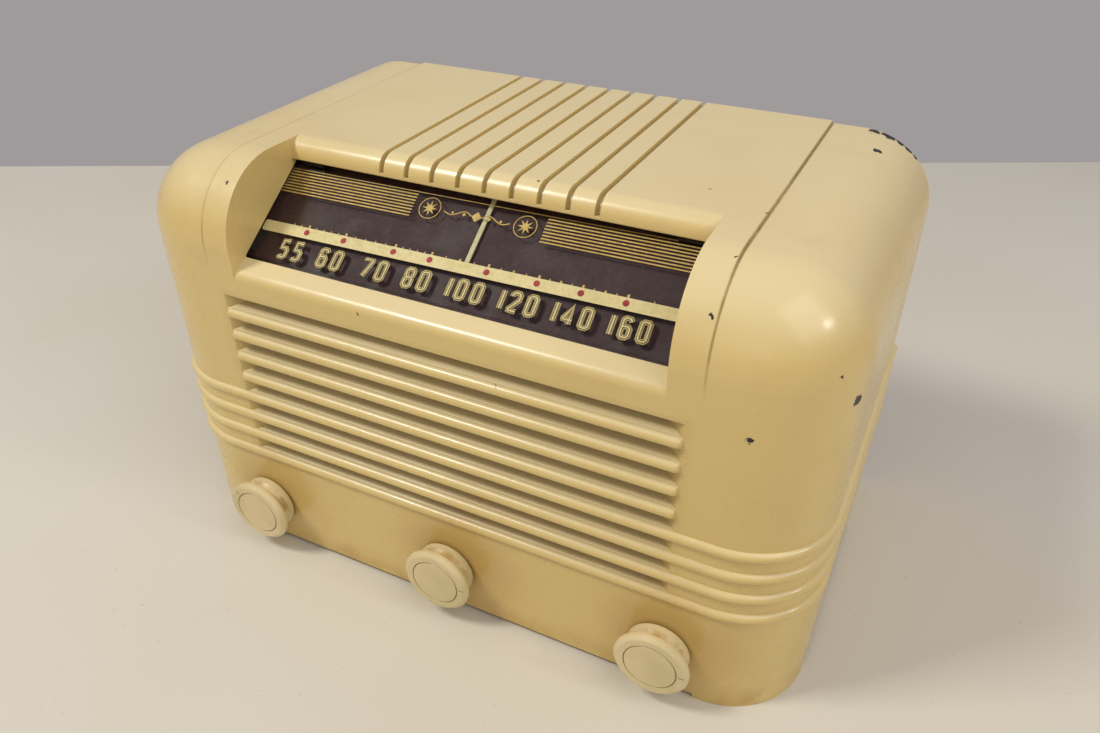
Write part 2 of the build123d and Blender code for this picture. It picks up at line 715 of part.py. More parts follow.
def dial_brackets():
    drop = plate_drop + plate_thick + sheet / 2
    upright = lamp_depth
    s_at = (upright - sill_depth - slope_z * drop) / slope_d
    line = [(upright - 11, chassis_top + sheet / 2), (upright, chassis_top + sheet / 2),
            slope_point(s_at, drop), slope_point(s_at - 12, drop)]
    strips = []
    for side in (-1, 1):
        a, b = sorted((side * (plate_half_width - 12), side * plate_half_width))
        strips.append(side_slab(ribbon(line, sheet), a, b))
    return group(strips)


def lamp_pieces():
    """The two dial lamps and their sockets, just outside the ends of the dial plate."""
    seat = flange_top - lamp_drop
    sockets, lamps = [], []
    for side in (-1, 1):
        x = side * (plate_half_width + 7)
        socket = post(x, lamp_depth, seat - 3, seat + 11, 6) - post(x, lamp_depth, seat, seat + 12, 4.6)
        a, b = sorted((side * plate_half_width, side * (plate_half_width + 2.2)))
        strap = block(a, b, lamp_depth - sheet / 2, lamp_depth + sheet / 2, seat - 2, seat + 6)
        sockets.append(socket + strap)
        base = [(0, seat), (4.6, seat), (4.6, seat + 13), (5.4, seat + 16), (5.4, seat + 23), (3.8, seat + 27),
                (0, seat + 28.5)]
        lamps.append(turned_up(base, x, lamp_depth))
    return group(sockets), group(lamps)


# ---- cords ----
def on_circle(centre, radius, degrees):
    turn = math.radians(degrees)
    return (centre[0] + radius * math.cos(turn), centre[1] + radius * math.sin(turn))


def tube_path(route, depth):
    """A round cord at one depth: route is a list of (centre, radius, start, end) arcs in degrees."""
    edges = []
    last = None
    for centre, radius, start, end in route:
        a = on_circle(centre, radius, start)
        m = on_circle(centre, radius, (start + end) / 2)
        b = on_circle(centre, radius, end)
        a, m, b = [(p[0], front + depth, p[1]) for p in (a, m, b)]
        if last is not None:
            edges.append(Edge.make_line(last, a))
        edges.append(Edge.make_three_point_arc(a, m, b))
        last = b
    path = Wire(edges)
    section = Plane(origin=path.position_at(0), z_dir=path.tangent_at(0)) * Circle(cord_radius)
    return sweep(section, path=path)


def outer_tangent(small, small_radius, large, large_radius, side):
    """The direction, in degrees, of the shared normal of an open belt's run."""
    across = (large[0] - small[0], large[1] - small[1])
    distance = math.hypot(*across)
    swing = math.degrees(math.acos((small_radius - large_radius) / distance))
    return math.degrees(math.atan2(across[1], across[0])) + side * swing


def pointer_cord():
    drum = (gang_x, gang_z)
    right = (idler_x, idler_z)
    left = (-idler_x, idler_z)
    centre = (centre_idler_x, centre_idler_z)
    turn = outer_tangent(right, idler_cord_radius, drum, drum_cord_radius, 1) % 360
    route = [(drum, drum_cord_radius, -88, turn), (right, idler_cord_radius, turn, 90),
             (left, idler_cord_radius, 90, 270), (centre, idler_cord_radius, 90, 0),
             (drum, drum_cord_radius, 180, 268)]
    return tube_path(route, cord_depth)


def drive_cord():
    drum = (gang_x, gang_z)
    shaft = (knob_pitch, knob_z)
    right = outer_tangent(shaft, bobbin_cord_radius, drum, drum_cord_radius, -1)
    left = outer_tangent(shaft, bobbin_cord_radius, drum, drum_cord_radius, 1)
    route = [(drum, drum_cord_radius, 92, left), (shaft, bobbin_cord_radius, left, right + 360),
             (drum, drum_cord_radius, right, 88)]
    return tube_path(route, drive_depth)


# ---- tuning capacitor ----
def tuning_drum():
    rim = drum_root + groove_lip
    drum = rod(gang_x, gang_z, drum_front, drum_front + drum_width, rim)
    for depth in (cord_depth, drive_depth):
        ring = rod(gang_x, gang_z, depth - groove_width / 2, depth + groove_width / 2, rim + 1)
        drum -= ring - rod(gang_x, gang_z, depth - 5, depth + 5, drum_root)
    drum -= rod(gang_x, gang_z, drum_front - 1, drum_front + 3, drum_root - 4)
    drum -= rod(gang_x, gang_z, drum_front + 5, drum_front + drum_width + 1, drum_root - 4)
    for i in range(6):
        x, z = on_circle((gang_x, gang_z), 28, 60 * i)
        drum -= rod(x, z, drum_front, drum_front + drum_width, 9)
    drum += rod(gang_x, gang_z, drum_front, drum_front + drum_width, 8)
    return drum - rod(gang_x, gang_z, drum_front - 1, drum_front + drum_width + 1, shaft_radius)


def gang_sections():
    """Depths of the two bays either side of the frame's middle shield."""
    middle = gang_front + gang_length / 2
    shield = shield_thick / 2
    return ((gang_front + sheet, middle - shield), (middle + shield, gang_front + gang_length - sheet))


def first_vane(bay):
    length = (vanes_per_section - 1) * vane_pitch + vane_thick
    return (bay[0] + bay[1] - length) / 2


def capacitor_rotor():
    rest_turn = math.degrees(pointer_x / drum_cord_radius)
    rotor = rod(gang_x, gang_z, drum_front - 1, gang_front + gang_length + 2, shaft_radius)
    for bay in gang_sections():
        start = first_vane(bay)
        for i in range(vanes_per_section):
            depth = start + i * vane_pitch
            vane = rod(gang_x, gang_z, depth, depth + vane_thick, rotor_radius)
            vane -= block(gang_x - 30, gang_x + 30, depth - 1, depth + 2, gang_z - 30, gang_z)
            turned_vane = vane.rotate(Axis((gang_x, 0, gang_z), (0, 1, 0)), rest_turn)
            rotor += turned_vane + rod(gang_x, gang_z, depth, depth + vane_thick, 5)
        rotor += rod(gang_x, gang_z, start, start + vane_pitch * (vanes_per_section - 1), 4.4)
    return rotor


def stator_rod_places():
    return [on_circle((gang_x, gang_z), rotor_radius + 2.2, turn) for turn in (125, 235)]


def capacitor_stator():
    pieces = []
    for bay in gang_sections():
        section = None
        for i in range(vanes_per_section - 1):
            depth = first_vane(bay) + vane_pitch * (i + 0.5)
            vane = rod(gang_x, gang_z, depth, depth + vane_thick, rotor_radius + 3.6)
            vane -= rod(gang_x, gang_z, depth - 1, depth + 2, 6)
            vane -= block(gang_x - 1, gang_x + 30, depth - 1, depth + 2, gang_z - 30, gang_z + 30)
            section = vane if section is None else section + vane
        for x, z in stator_rod_places():
            section += rod(x, z, bay[0] + insulator_thick, bay[1] - insulator_thick, 1)
        pieces.append(section)
    return group(pieces)


def capacitor_insulators():
    """Moulded bars across the frame that carry the stator rods' ends."""
    rod_x = stator_rod_places()[0][0]
    low = gang_z - gang_reach_up + sheet
    bars = []
    for bay in gang_sections():
        for depth in (bay[0], bay[1] - insulator_thick):
            bars.append(block(rod_x - 4, rod_x + 4, depth, depth + insulator_thick, low, gang_z + gang_reach_up - 4))
    return group(bars)


def capacitor_frame():
    low = gang_z - gang_reach_up
    high = gang_z + gang_reach_up
    back = gang_front + gang_length
    frame = block(gang_x - gang_half_width, gang_x + gang_half_width, gang_front, back, low, high)
    frame -= block(gang_x - gang_half_width - 1, gang_x + gang_half_width + 1, gang_front + sheet, back - sheet,
                   low + sheet, high + 1)
    frame -= rod(gang_x, gang_z, gang_front - 1, back + 1, shaft_radius + run_clear)
    middle = gang_front + gang_length / 2
    shield = block(gang_x - gang_half_width + 2, gang_x + gang_half_width - 2, middle - shield_thick / 2,
                   middle + shield_thick / 2, low + sheet / 2, high - 2)
    return frame + shield - rod(gang_x, gang_z, middle - 2, middle + 2, 8)


def capacitor_bracket():
    low = gang_z - gang_reach_up
    foot = 32
    leg = 22
    outer = [(-leg, chassis_top), (-foot, chassis_top), (-foot, chassis_top + sheet),
             (-leg - sheet, chassis_top + sheet), (-leg - sheet, low), (leg + sheet, low),
             (leg + sheet, chassis_top + sheet), (foot, chassis_top + sheet), (foot, chassis_top),
             (leg, chassis_top), (leg, low - sheet), (-leg, low - sheet)]
    face = outline([(gang_x + x, z) for x, z in outer])
    return face_slab(face, gang_front + 3, gang_front + gang_length - 3)


# ---- speaker ----
baffle_front = louvre_depth + cloth_thick
baffle_back = baffle_front + baffle_thick


def grille_cloth():
    half = louvre_half_width + 3
    return block(-half, half, louvre_depth, baffle_front, bar_heights[-1] - 3, top_bar_z + bar_pitch + 1)


def speaker_baffle():
    board = block(-baffle_half_width, baffle_half_width, baffle_front, baffle_back, bar_heights[-1] - 3,
                  top_bar_z + bar_pitch + 1)
    board -= rod(speaker_x, speaker_z, baffle_front - 1, baffle_back + 1, cone_radius + 0.5)
    for x, z in baffle_screw_places():
        board -= rod(x, z, baffle_front - 1, baffle_back + 1, 1.7)
    for x, z in speaker_screw_places():
        board -= rod(x, z, baffle_front + 0.5, baffle_back + 1, 1.4)
    return board


def speaker_screw_places():
    return [on_circle((speaker_x, speaker_z), speaker_radius - 4, 45 + 90 * i) for i in range(4)]


def speaker_frame():
    seat = baffle_back
    deep = seat + basket_depth
    points = [(cone_radius + 0.6, seat), (speaker_radius, seat), (speaker_radius, seat + sheet),
              (cone_radius + 1.8, seat + sheet), (magnet_radius + 2, deep), (magnet_radius + 2, deep + sheet),
              (11, deep + sheet), (11, deep), (magnet_radius + 0.6, deep), (cone_radius + 0.6, seat + sheet)]
    frame = turned(points, speaker_x, speaker_z)
    for i in range(4):
        turn = 90 * i
        window = block(speaker_x - 9, speaker_x + 9, seat + 7, deep - 5, speaker_z + 20, speaker_z + 60)
        frame -= window.rotate(Axis((speaker_x, 0, speaker_z), (0, 1, 0)), turn)
    for x, z in speaker_screw_places():
        frame -= rod(x, z, seat - 1, seat + 3, 1.6)
    return frame


def speaker_cone():
    """Paper cone with its dust cap and voice coil, glued into the frame at the rim."""
    seat = baffle_back
    deep = seat + basket_depth
    points = [(cone_radius + 0.6, seat + 0.2), (cone_radius - 2, seat + 0.2), (13, deep - 8), (9, deep - 10.5),
              (0, deep - 11.5), (0, deep - 10.9), (8.7, deep - 9.9), (9.5, deep - 6.5), (9.5, deep + 3),
              (10.1, deep + 3), (10.1, deep - 6.5), (13.3, deep - 7.3), (cone_radius - 2, seat + 0.9),
              (cone_radius + 0.6, seat + 0.9)]
    return turned(points, speaker_x, speaker_z)


def speaker_magnet():
    near = baffle_back + basket_depth + sheet
    magnet = rod(speaker_x, speaker_z, near, near + magnet_length, magnet_radius)
    magnet = chamfer(magnet.edges().filter_by(GeomType.CIRCLE).sort_by(Axis.Y)[-1], 1.5)
    return magnet - (rod(speaker_x, speaker_z, near - 1, near + 8, 12) - rod(speaker_x, speaker_z, near, near + 8, 8.5))


def loop_antenna():
    height = inner_top - floor_top - 2 * antenna_inset
    centre = Pos(0, (inner_top + floor_top) / 2)
    ring = centre * SlotOverall(antenna_width, height)
    ring -= centre * SlotOverall(antenna_width - 2 * antenna_band, height - 2 * antenna_band)
    return face_slab(ring, cover_front - 1.5, cover_front)


# ---- build every piece ----
os.makedirs("parts", exist_ok=True)

save(cabinet(), "cabinet")
save(grille_cloth(), "grille_cloth")
save(speaker_baffle(), "speaker_baffle")
save(group([pan_screw(x, z, baffle_back, 3.2, 2, 1.5, baffle_back - 2.4) for x, z in baffle_screw_places()]),
     "baffle_screws")
save(dial_glass(), "dial_glass")
save(dial_plate(), "dial_plate")
save(dial_clips(), "dial_clips")
save(pointer_rail(), "pointer_rail")
save(dial_brackets(), "dial_brackets")
save(chassis(), "chassis")
save(group([chassis_screw(x, d) for x, d in chassis_screw_places()]), "chassis_screws")
save(tuning_bush(), "tuning_bush")
save(group([hex_nut(x) for x in knob_places.values()]), "control_nuts")
save(control_body(knob_places["volume"], 9), "volume_control")
save(control_body(knob_places["tone"], 0), "tone_control")
save(control_shaft(knob_places["volume"]), "volume_shaft")
save(control_shaft(knob_places["tone"]), "tone_shaft")
save(tuning_shaft(), "tuning_shaft")
for name, x in knob_places.items():
    save(knob(x), f"knob_{name}")
save(capacitor_bracket(), "capacitor_bracket")
save(capacitor_frame(), "capacitor_frame")
save(capacitor_stator(), "capacitor_stator")
save(capacitor_insulators(), "capacitor_insulators")
save(capacitor_rotor(), "capacitor_rotor")
save(tuning_drum(), "tuning_drum")
save(pointer(), "pointer")
for name, (x, z) in idler_places().items():
    save(idler(x, z), name)
save(pointer_cord(), "pointer_cord")
save(drive_cord(), "drive_cord")
save(speaker_frame(), "speaker_frame")
save(speaker_cone(), "speaker_cone")
save(speaker_magnet(), "speaker_magnet")
save(group([pan_screw(x, z, baffle_back + sheet, 3, 1.8, 1.4, sheet + 2.2) for x, z in speaker_screw_places()]),
     "speaker_screws")
save(transformer_core(), "output_transformer_core")
save(transformer_coil(), "output_transformer_coil")
for name, (x, d) in can_places.items():
    save(if_can(x, d), name)
for name, (x, d) in tube_places.items():
    save(tube_bulb(x, d, tube_heights[name]), f"tube_{name}")
    save(tube_base(x, d), f"tube_{name}_base")
save(group([tube_socket(x, d) for x, d in tube_places.values()]), "tube_sockets")
save(filter_capacitor(), "filter_capacitor")
save(oscillator_coil(), "oscillator_coil")
lamp_sockets, lamps = lamp_pieces()
save(lamp_sockets, "dial_lamp_sockets")
save(lamps, "dial_lamps")
save(loop_antenna(), "loop_antenna")
save(rear_cover(), "rear_cover")
save(group([pan_screw(x, z, cover_front + cover_thick, 3.6, 2.2, 1.5, 12) for x, z in cover_screw_places()]),
     "rear_cover_screws")
save(cord_grommet(), "cord_grommet")
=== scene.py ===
import json
import math
import bpy
from mathutils import Matrix, Vector


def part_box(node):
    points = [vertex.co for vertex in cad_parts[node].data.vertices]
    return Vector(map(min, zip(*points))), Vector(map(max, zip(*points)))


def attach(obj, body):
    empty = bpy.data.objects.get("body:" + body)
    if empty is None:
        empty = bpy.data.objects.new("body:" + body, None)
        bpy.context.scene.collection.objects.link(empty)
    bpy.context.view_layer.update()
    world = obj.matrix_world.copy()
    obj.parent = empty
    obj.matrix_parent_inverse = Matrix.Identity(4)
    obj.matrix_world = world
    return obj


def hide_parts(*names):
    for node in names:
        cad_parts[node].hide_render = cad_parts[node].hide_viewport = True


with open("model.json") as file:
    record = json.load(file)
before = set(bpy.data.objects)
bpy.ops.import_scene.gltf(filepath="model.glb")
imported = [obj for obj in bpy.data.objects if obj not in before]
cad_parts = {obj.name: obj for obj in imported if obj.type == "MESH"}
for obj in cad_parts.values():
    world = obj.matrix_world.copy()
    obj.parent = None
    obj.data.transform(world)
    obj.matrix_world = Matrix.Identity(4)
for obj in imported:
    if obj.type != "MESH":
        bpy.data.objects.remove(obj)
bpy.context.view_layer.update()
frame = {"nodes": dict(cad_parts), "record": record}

nodes = frame["nodes"]
mm = 0.001
cabinetLow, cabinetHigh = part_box("cabinet")
barProud = 0.0005  # how far the louvre bars stand out of the front face
frontFace = cabinetLow.y + barProud
knobCentres = {}
for knobName in ("volume", "tone", "tuning"):
    low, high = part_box("knob_" + knobName)
    knobCentres[knobName] = (low + high) / 2
print("frame loaded:", len(nodes), "parts")

for spare in ("Cube", "Light", "Camera"):
    if spare in bpy.data.objects and spare not in nodes:
        bpy.data.objects.remove(bpy.data.objects[spare])


# small helpers for modelling
def deselectAll():
    if bpy.context.object and bpy.context.object.mode != "OBJECT":
        bpy.ops.object.mode_set(mode="OBJECT")
    bpy.ops.object.select_all(action="DESELECT")


def pick(piece):
    deselectAll()
    piece.select_set(True)
    bpy.context.view_layer.objects.active = piece


def joinPieces(parts, name):
    deselectAll()
    for part in parts:
        part.select_set(True)
    bpy.context.view_layer.objects.active = parts[0]
    if len(parts) > 1:
        bpy.ops.object.join()
    joined = bpy.context.object
    joined.name = name
    joined.data.name = name
    return joined


# the object's place goes into its mesh
def freezePlace(piece):
    pick(piece)
    bpy.ops.object.transform_apply(location=True, rotation=True, scale=True)


def giveMaterial(node, material):
    node.data.materials.clear()
    node.data.materials.append(material)


def finishPiece(piece, body, material):
    giveMaterial(piece, material)
    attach(piece, body)
    return piece


# a screen colour, 0 to 255, as the linear colour a shader takes
def srgb(red, green, blue):
    linear = []
    for value in (red, green, blue):
        share = value / 255
        linear.append(share / 12.92 if share < 0.04045 else ((share + 0.055) / 1.055) ** 2.4)
    return (*linear, 1)


# one node material and the few small clusters of nodes it is built from
class Finish:
    def __init__(self, name):
        self.material = bpy.data.materials.new(name)
        self.material.use_nodes = True
        self.nodes = self.material.node_tree.nodes
        self.links = self.material.node_tree.links
        self.shader = self.nodes["Principled BSDF"]
        self.place = self.add("ShaderNodeTexCoord").outputs["Object"]
        split = self.add("ShaderNodeSeparateXYZ", {"Vector": self.place})
        self.x, self.y, self.z = split.outputs

    def add(self, kind, inputs=None, **settings):
        node = self.nodes.new(kind)
        for key, value in settings.items():
            setattr(node, key, value)
        for key, value in (inputs or {}).items():
            socket = node.inputs[key]
            if isinstance(value, bpy.types.NodeSocket):
                self.links.new(value, socket)
            else:
                socket.default_value = value
        return node

    def calc(self, operation, a, b=0.0, c=0.0, clamp=False):
        settings = {"operation": operation, "use_clamp": clamp}
        return self.add("ShaderNodeMath", {0: a, 1: b, 2: c}, **settings).outputs[0]

    def stretched(self, scale, turn=(0, 0, 0)):
        inputs = {"Vector": self.place, "Scale": scale, "Rotation": turn}
        return self.add("ShaderNodeMapping", inputs).outputs[0]

    def noise(self, scale, detail=4.0, rough=0.55, distort=0.0, vector=None):
        inputs = {"Vector": vector or self.place, "Scale": scale, "Detail": detail,
                  "Roughness": rough, "Distortion": distort}
        return self.add("ShaderNodeTexNoise", inputs).outputs["Fac"]

    def step(self, value, low, high, bottom=0.0, top=1.0):
        inputs = {"Value": value, "From Min": low, "From Max": high, "To Min": bottom, "To Max": top}
        return self.add("ShaderNodeMapRange", inputs, interpolation_type="SMOOTHSTEP").outputs[0]

    # one short of a reach, nought past it, with a soft edge
    def near(self, value, reach, soft):
        return self.step(value, reach - soft, reach + soft, 1.0, 0.0)

    # one between low and high, nought outside, with soft shoulders
    def band(self, value, low, high, soft):
        return self.calc("MULTIPLY", self.step(value, low - soft, low + soft),
                         self.near(value, high, soft))

    # how far a place is from an axis that runs front to back through a centre
    def fromAxis(self, centre):
        across = self.calc("SUBTRACT", self.x, centre[0])
        tall = self.calc("SUBTRACT", self.z, centre[1])
        return self.calc("SQRT", self.calc("ADD", self.calc("MULTIPLY", across, across),
                                           self.calc("MULTIPLY", tall, tall)))

    # the largest of several masks
    def widest(self, masks):
        out = masks[0]
        for mask in masks[1:]:
            out = self.calc("MAXIMUM", out, mask)
        return out

    # several masks at once
    def together(self, *masks):
        out = masks[0]
        for mask in masks[1:]:
            out = self.calc("MULTIPLY", out, mask)
        return out

    def mix(self, share, first, second):
        node = self.add("ShaderNodeMix", {"Factor": share}, data_type="RGBA")
        for socket, value in ((node.inputs[6], first), (node.inputs[7], second)):
            if isinstance(value, bpy.types.NodeSocket):
                self.links.new(value, socket)
            else:
                socket.default_value = value
        return node.outputs[2]

    def bump(self, height, strength, distance, under=None):
        inputs = {"Height": height, "Strength": strength, "Distance": distance}
        if under is not None:
            inputs["Normal"] = under
        return self.add("ShaderNodeBump", inputs).outputs[0]

    # the maps and values that go to the shader's own sockets
    def dress(self, **values):
        names = {"colour": "Base Color", "metal": "Metallic", "rough": "Roughness", "normal": "Normal",
                 "coat": "Coat Weight", "coatRough": "Coat Roughness", "ior": "IOR",
                 "clear": "Transmission Weight", "sheen": "Sheen Weight",
                 "under": "Subsurface Weight", "underScale": "Subsurface Scale"}
        for key, value in values.items():
            socket = self.shader.inputs[names[key]]
            if isinstance(value, bpy.types.NodeSocket):
                self.links.new(value, socket)
            else:
                socket.default_value = value
        return self.material


# the painted cabinet: its tones, how strong each kind of wear and painted shade is, and the places each keeps
# to
cabinetLook = {
    "top": srgb(228, 211, 162), "front": srgb(218, 192, 126), "low": srgb(218, 193, 123),
    "stainAndShade": srgb(170, 124, 50), "grimeAndShade": srgb(132, 108, 40), "chip": srgb(20, 17, 18),
    "tan": srgb(204, 176, 110), "flutes": srgb(128, 116, 66), "rough": 0.25, "peel": 0.05,
    "driftShare": 0.24, "mottleShare": 0.10, "footShare": 0.55, "louvreShare": 0.36, "ledgeShare": 0.55,
    "creaseShare": 0.62, "fluteShare": 0.5, "scratchShare": 0.10,
    "handling": (0.005, 0.004), "handlingSpread": (0.018, 0.052, 0.016), "footHeight": (0.003, 0.017),
    "louvreHalf": 0.108, "barPitch": 0.0115, "topBar": 0.1372, "lowBar": 0.0567,
    "ledgeBack": 0.0026, "ledgeReach": 0.037, "ledgeTop": 0.1,
    "crease": 0.11345, "creaseHeight": (0.155, 0.18),
    "flutePitch": 0.0127, "flutesHalf": 0.053, "fluteFront": (-0.0347, -0.0325),
    "fluteFoot": (0.1925, 0.1935), "fluteDepth": (0.0016, 0.0006), "ragged": 0.0055,
}
# x, y, z and size in millimetres of each place where the paint has chipped to the dark moulding
chips = [
    (138.2, 71.8, 200.5, 1.9), (112.2, -20.3, 203.2, 1.0), (112.1, -56.7, 202.0, 0.7),
    (87.2, -7.3, 203.2, 0.55), (22.2, -29.1, 202.9, 1.1), (111.2, -76.3, 188.8, 1.0),
    (155.3, -67.9, 171.8, 0.7), (161.2, -57.5, 157.4, 2.5), (131.2, -82.8, 147.2, 1.1),
    (131.0, -82.8, 145.0, 0.7), (-104.8, -70.8, 194.7, 0.9), (-100.9, -49.3, 203.1, 0.6),
    (-33.5, -83.2, 155.8, 0.6), (31.1, -83.6, 139.6, 0.6), (-146.0, -60, 180, 0.7),
]
cornerChips = [
    (133.0, 94.0, 201.2, 2.6), (139.5, 95.0, 200.0, 3.4), (145.0, 95.2, 198.0, 2.4),
    (149.0, 94.8, 195.5, 2.0), (152.5, 95.0, 192.5, 1.6),
]


# one inside any chip, with a ragged edge
def chipMask(paint, look):
    cloud = paint.add("ShaderNodeTexNoise", {"Vector": paint.place, "Scale": 420.0, "Detail": 3.0})
    warp = cloud.outputs["Color"]
    warp = paint.add("ShaderNodeVectorMath", {0: warp, 1: (0.5, 0.5, 0.5)}, operation="SUBTRACT").outputs[0]
    warp = paint.add("ShaderNodeVectorMath", {0: warp, "Scale": look["ragged"]}, operation="SCALE").outputs[0]
    moved = paint.add("ShaderNodeVectorMath", {0: paint.place, 1: warp}, operation="ADD").outputs[0]
    masks = []
    for x, y, z, size in chips + cornerChips:
        ends = {0: moved, 1: (x * mm, y * mm, z * mm)}
        away = paint.add("ShaderNodeVectorMath", ends, operation="DISTANCE")
        masks.append(paint.near(away.outputs["Value"], size * mm, size * mm * 0.15))
    return paint.widest(masks)


# one where hands have soiled the front behind the knobs
def handlingMask(paint, look, mottle):
    aside, above = look["handling"]
    start, end, uneven = look["handlingSpread"]
    masks = []
    for centre in knobCentres.values():
        reach = paint.fromAxis((centre.x + aside, centre.z + above))
        reach = paint.calc("ADD", reach, paint.calc("MULTIPLY", mottle, uneven))
        masks.append(paint.step(reach, start, end, 1.0, 0.0))
    onFront = paint.step(paint.y, frontFace + 0.004, frontFace + 0.012, 1.0, 0.0)
    return paint.together(paint.widest(masks), onFront)


# one in the gaps between the louvre bars, where painted shade darkens the recesses, with some grime
def louvreMask(paint, look, sideways):
    ends = paint.step(sideways, look["louvreHalf"] - 0.002, look["louvreHalf"] + 0.006, 1.0, 0.0)
    rows = paint.band(paint.z, look["lowBar"] - 0.004, look["topBar"] + 0.011, 0.001)
    return paint.together(ends, rows, paint.step(paint.y, frontFace - 0.0002, frontFace + 0.004))


# one in a narrow band just below the middle of each low bar and rib: dirt, and painted shadow under each bar
def ledgeMask(paint, look, mottle):
    first = look["lowBar"] - look["ledgeBack"]
    rise = paint.calc("DIVIDE", paint.calc("SUBTRACT", paint.z, first), look["barPitch"])
    rise = paint.step(paint.calc("FRACT", rise), 0.0, 0.13, 1.0, 0.0)
    return paint.together(rise, paint.step(mottle, 0.36, 0.6),
                          paint.band(paint.z, first, look["lowBar"] + look["ledgeReach"], 0.0006),
                          paint.step(paint.z, look["ledgeTop"], look["ledgeTop"] + mm, 1.0, 0.0))


# one in the crease on each side of the top, where a darker line is painted: grime and painted shade
def creaseMask(paint, look, sideways, mottle):
    away = paint.calc("ABSOLUTE", paint.calc("SUBTRACT", sideways, look["crease"]))
    away = paint.step(away, 0.0002, 0.0008, 1.0, 0.0)
    return paint.together(away, paint.step(paint.z, *look["creaseHeight"]),
                          paint.step(mottle, 0.3, 0.55, 0.35, 1.0))


# one in the flutes of the hood, painted darker: painted shade in the grooves, and some dirt
def fluteMask(paint, look, sideways):
    halfway = 20.5 * look["flutePitch"]  # puts the whole count to the left and a flute at each half
    across = paint.calc("DIVIDE", paint.calc("ADD", paint.x, halfway), look["flutePitch"])
    across = paint.calc("ABSOLUTE", paint.calc("SUBTRACT", paint.calc("FRACT", across), 0.5))
    across = paint.step(across, 0.075, 0.115, 1.0, 0.0)
    deep, shallow = look["fluteDepth"]
    return paint.together(across, paint.near(sideways, look["flutesHalf"], 0.0005),
                          paint.step(paint.z, cabinetHigh.z - deep, cabinetHigh.z - shallow, 1.0, 0.0),
                          paint.step(paint.y, *look["fluteFront"]), paint.step(paint.z, *look["fluteFoot"]))


def paintCabinet(look):
    paint = Finish("cabinetPaint")
    sideways = paint.calc("ABSOLUTE", paint.x)
    # broad drift of tone, paler on top as painted light from above, and yellower towards the table
    drift = paint.noise(7.0, 3.0, 0.5)
    mottle = paint.noise(38.0, 5.0, 0.62)
    tone = paint.mix(paint.step(paint.z, 0.03, 0.20), look["low"], look["front"])
    facing = paint.add("ShaderNodeNewGeometry").outputs["Normal"]
    upward = paint.add("ShaderNodeSeparateXYZ", {"Vector": facing}).outputs["Z"]
    # surfaces that face up take the paler top tone: painted light from above
    tone = paint.mix(paint.step(upward, 0.25, 0.95), tone, look["top"])
    tone = paint.mix(paint.step(drift, 0.42, 0.66, 0.0, look["driftShare"]), tone, look["tan"])
    tone = paint.mix(paint.step(mottle, 0.52, 0.78, 0.0, look["mottleShare"]), tone, look["stainAndShade"])
    handled = paint.together(handlingMask(paint, look, mottle), paint.step(drift, 0.3, 0.6, 0.12, 0.42))
    tone = paint.mix(handled, tone, look["stainAndShade"])
    foot = paint.together(paint.step(paint.z, *look["footHeight"], 1.0, 0.0), paint.step(mottle, 0.35, 0.7))
    tone = paint.mix(paint.calc("MULTIPLY", foot, look["footShare"]), tone, look["stainAndShade"])
    inLouvres = louvreMask(paint, look, sideways)
    # the louvre gaps are painted darker: painted shade in the recesses, and some grime
    tone = paint.mix(paint.calc("MULTIPLY", inLouvres, look["louvreShare"]), tone, look["grimeAndShade"])
    ledge = ledgeMask(paint, look, mottle)
    # the band under each low bar and rib is painted darker: dirt, and painted shadow under the bar
    tone = paint.mix(paint.calc("MULTIPLY", ledge, look["ledgeShare"]), tone, look["stainAndShade"])
    crease = creaseMask(paint, look, sideways, mottle)
    # a darker line painted along each crease: grime and painted shade
    tone = paint.mix(paint.calc("MULTIPLY", crease, look["creaseShare"]), tone, look["grimeAndShade"])
    flutes = fluteMask(paint, look, sideways)
    # the flute grooves are painted darker: painted shade, with some dirt
    tone = paint.mix(paint.calc("MULTIPLY", flutes, look["fluteShare"]), tone, look["flutes"])
    # fine scratches running both ways
    hair = paint.noise(1.0, 2.0, 0.6, 0.3, paint.stretched((55, 55, 900), turn=(0.2, 0.5, 0.3)))
    hairs = paint.together(paint.band(hair, 0.497, 0.503, 0.003), paint.step(drift, 0.45, 0.6))
    tone = paint.mix(paint.calc("MULTIPLY", hairs, look["scratchShare"]), tone, look["stainAndShade"])
    chipped = chipMask(paint, look)
    tone = paint.mix(chipped, tone, look["chip"])
    # orange peel, brush drag and the step down into each chip
    normal = paint.bump(paint.noise(45.0, 2.0, 0.5), 0.05, 0.0012)
    normal = paint.bump(paint.noise(650.0, 3.0, 0.5), look["peel"], 0.0004, normal)
    normal = paint.bump(paint.calc("SUBTRACT", 1.0, chipped), 0.6, 0.0003, normal)
    rough = paint.calc("ADD", paint.step(mottle, 0.35, 0.7, look["rough"] - 0.05, look["rough"] + 0.09),
                       paint.calc("MULTIPLY", paint.calc("MAXIMUM", inLouvres, chipped), 0.2), clamp=True)
    return paint.dress(colour=tone, rough=rough, normal=normal, coat=0.12, coatRough=0.22)


# the moulded knobs, darker at the waist and in the ring of the face: soiling, with painted shade in these
# recesses
knobLook = {
    "colour": srgb(222, 203, 157), "green": srgb(196, 184, 132), "stainAndShade": srgb(180, 142, 62),
    "groove": srgb(104, 82, 40), "rough": 0.4, "ring": 0.0119, "ringDepth": (0.0012, 0.002),
    "waist": (0.0042, 0.0088), "waistShare": 0.8, "grooveShare": 0.45,
}


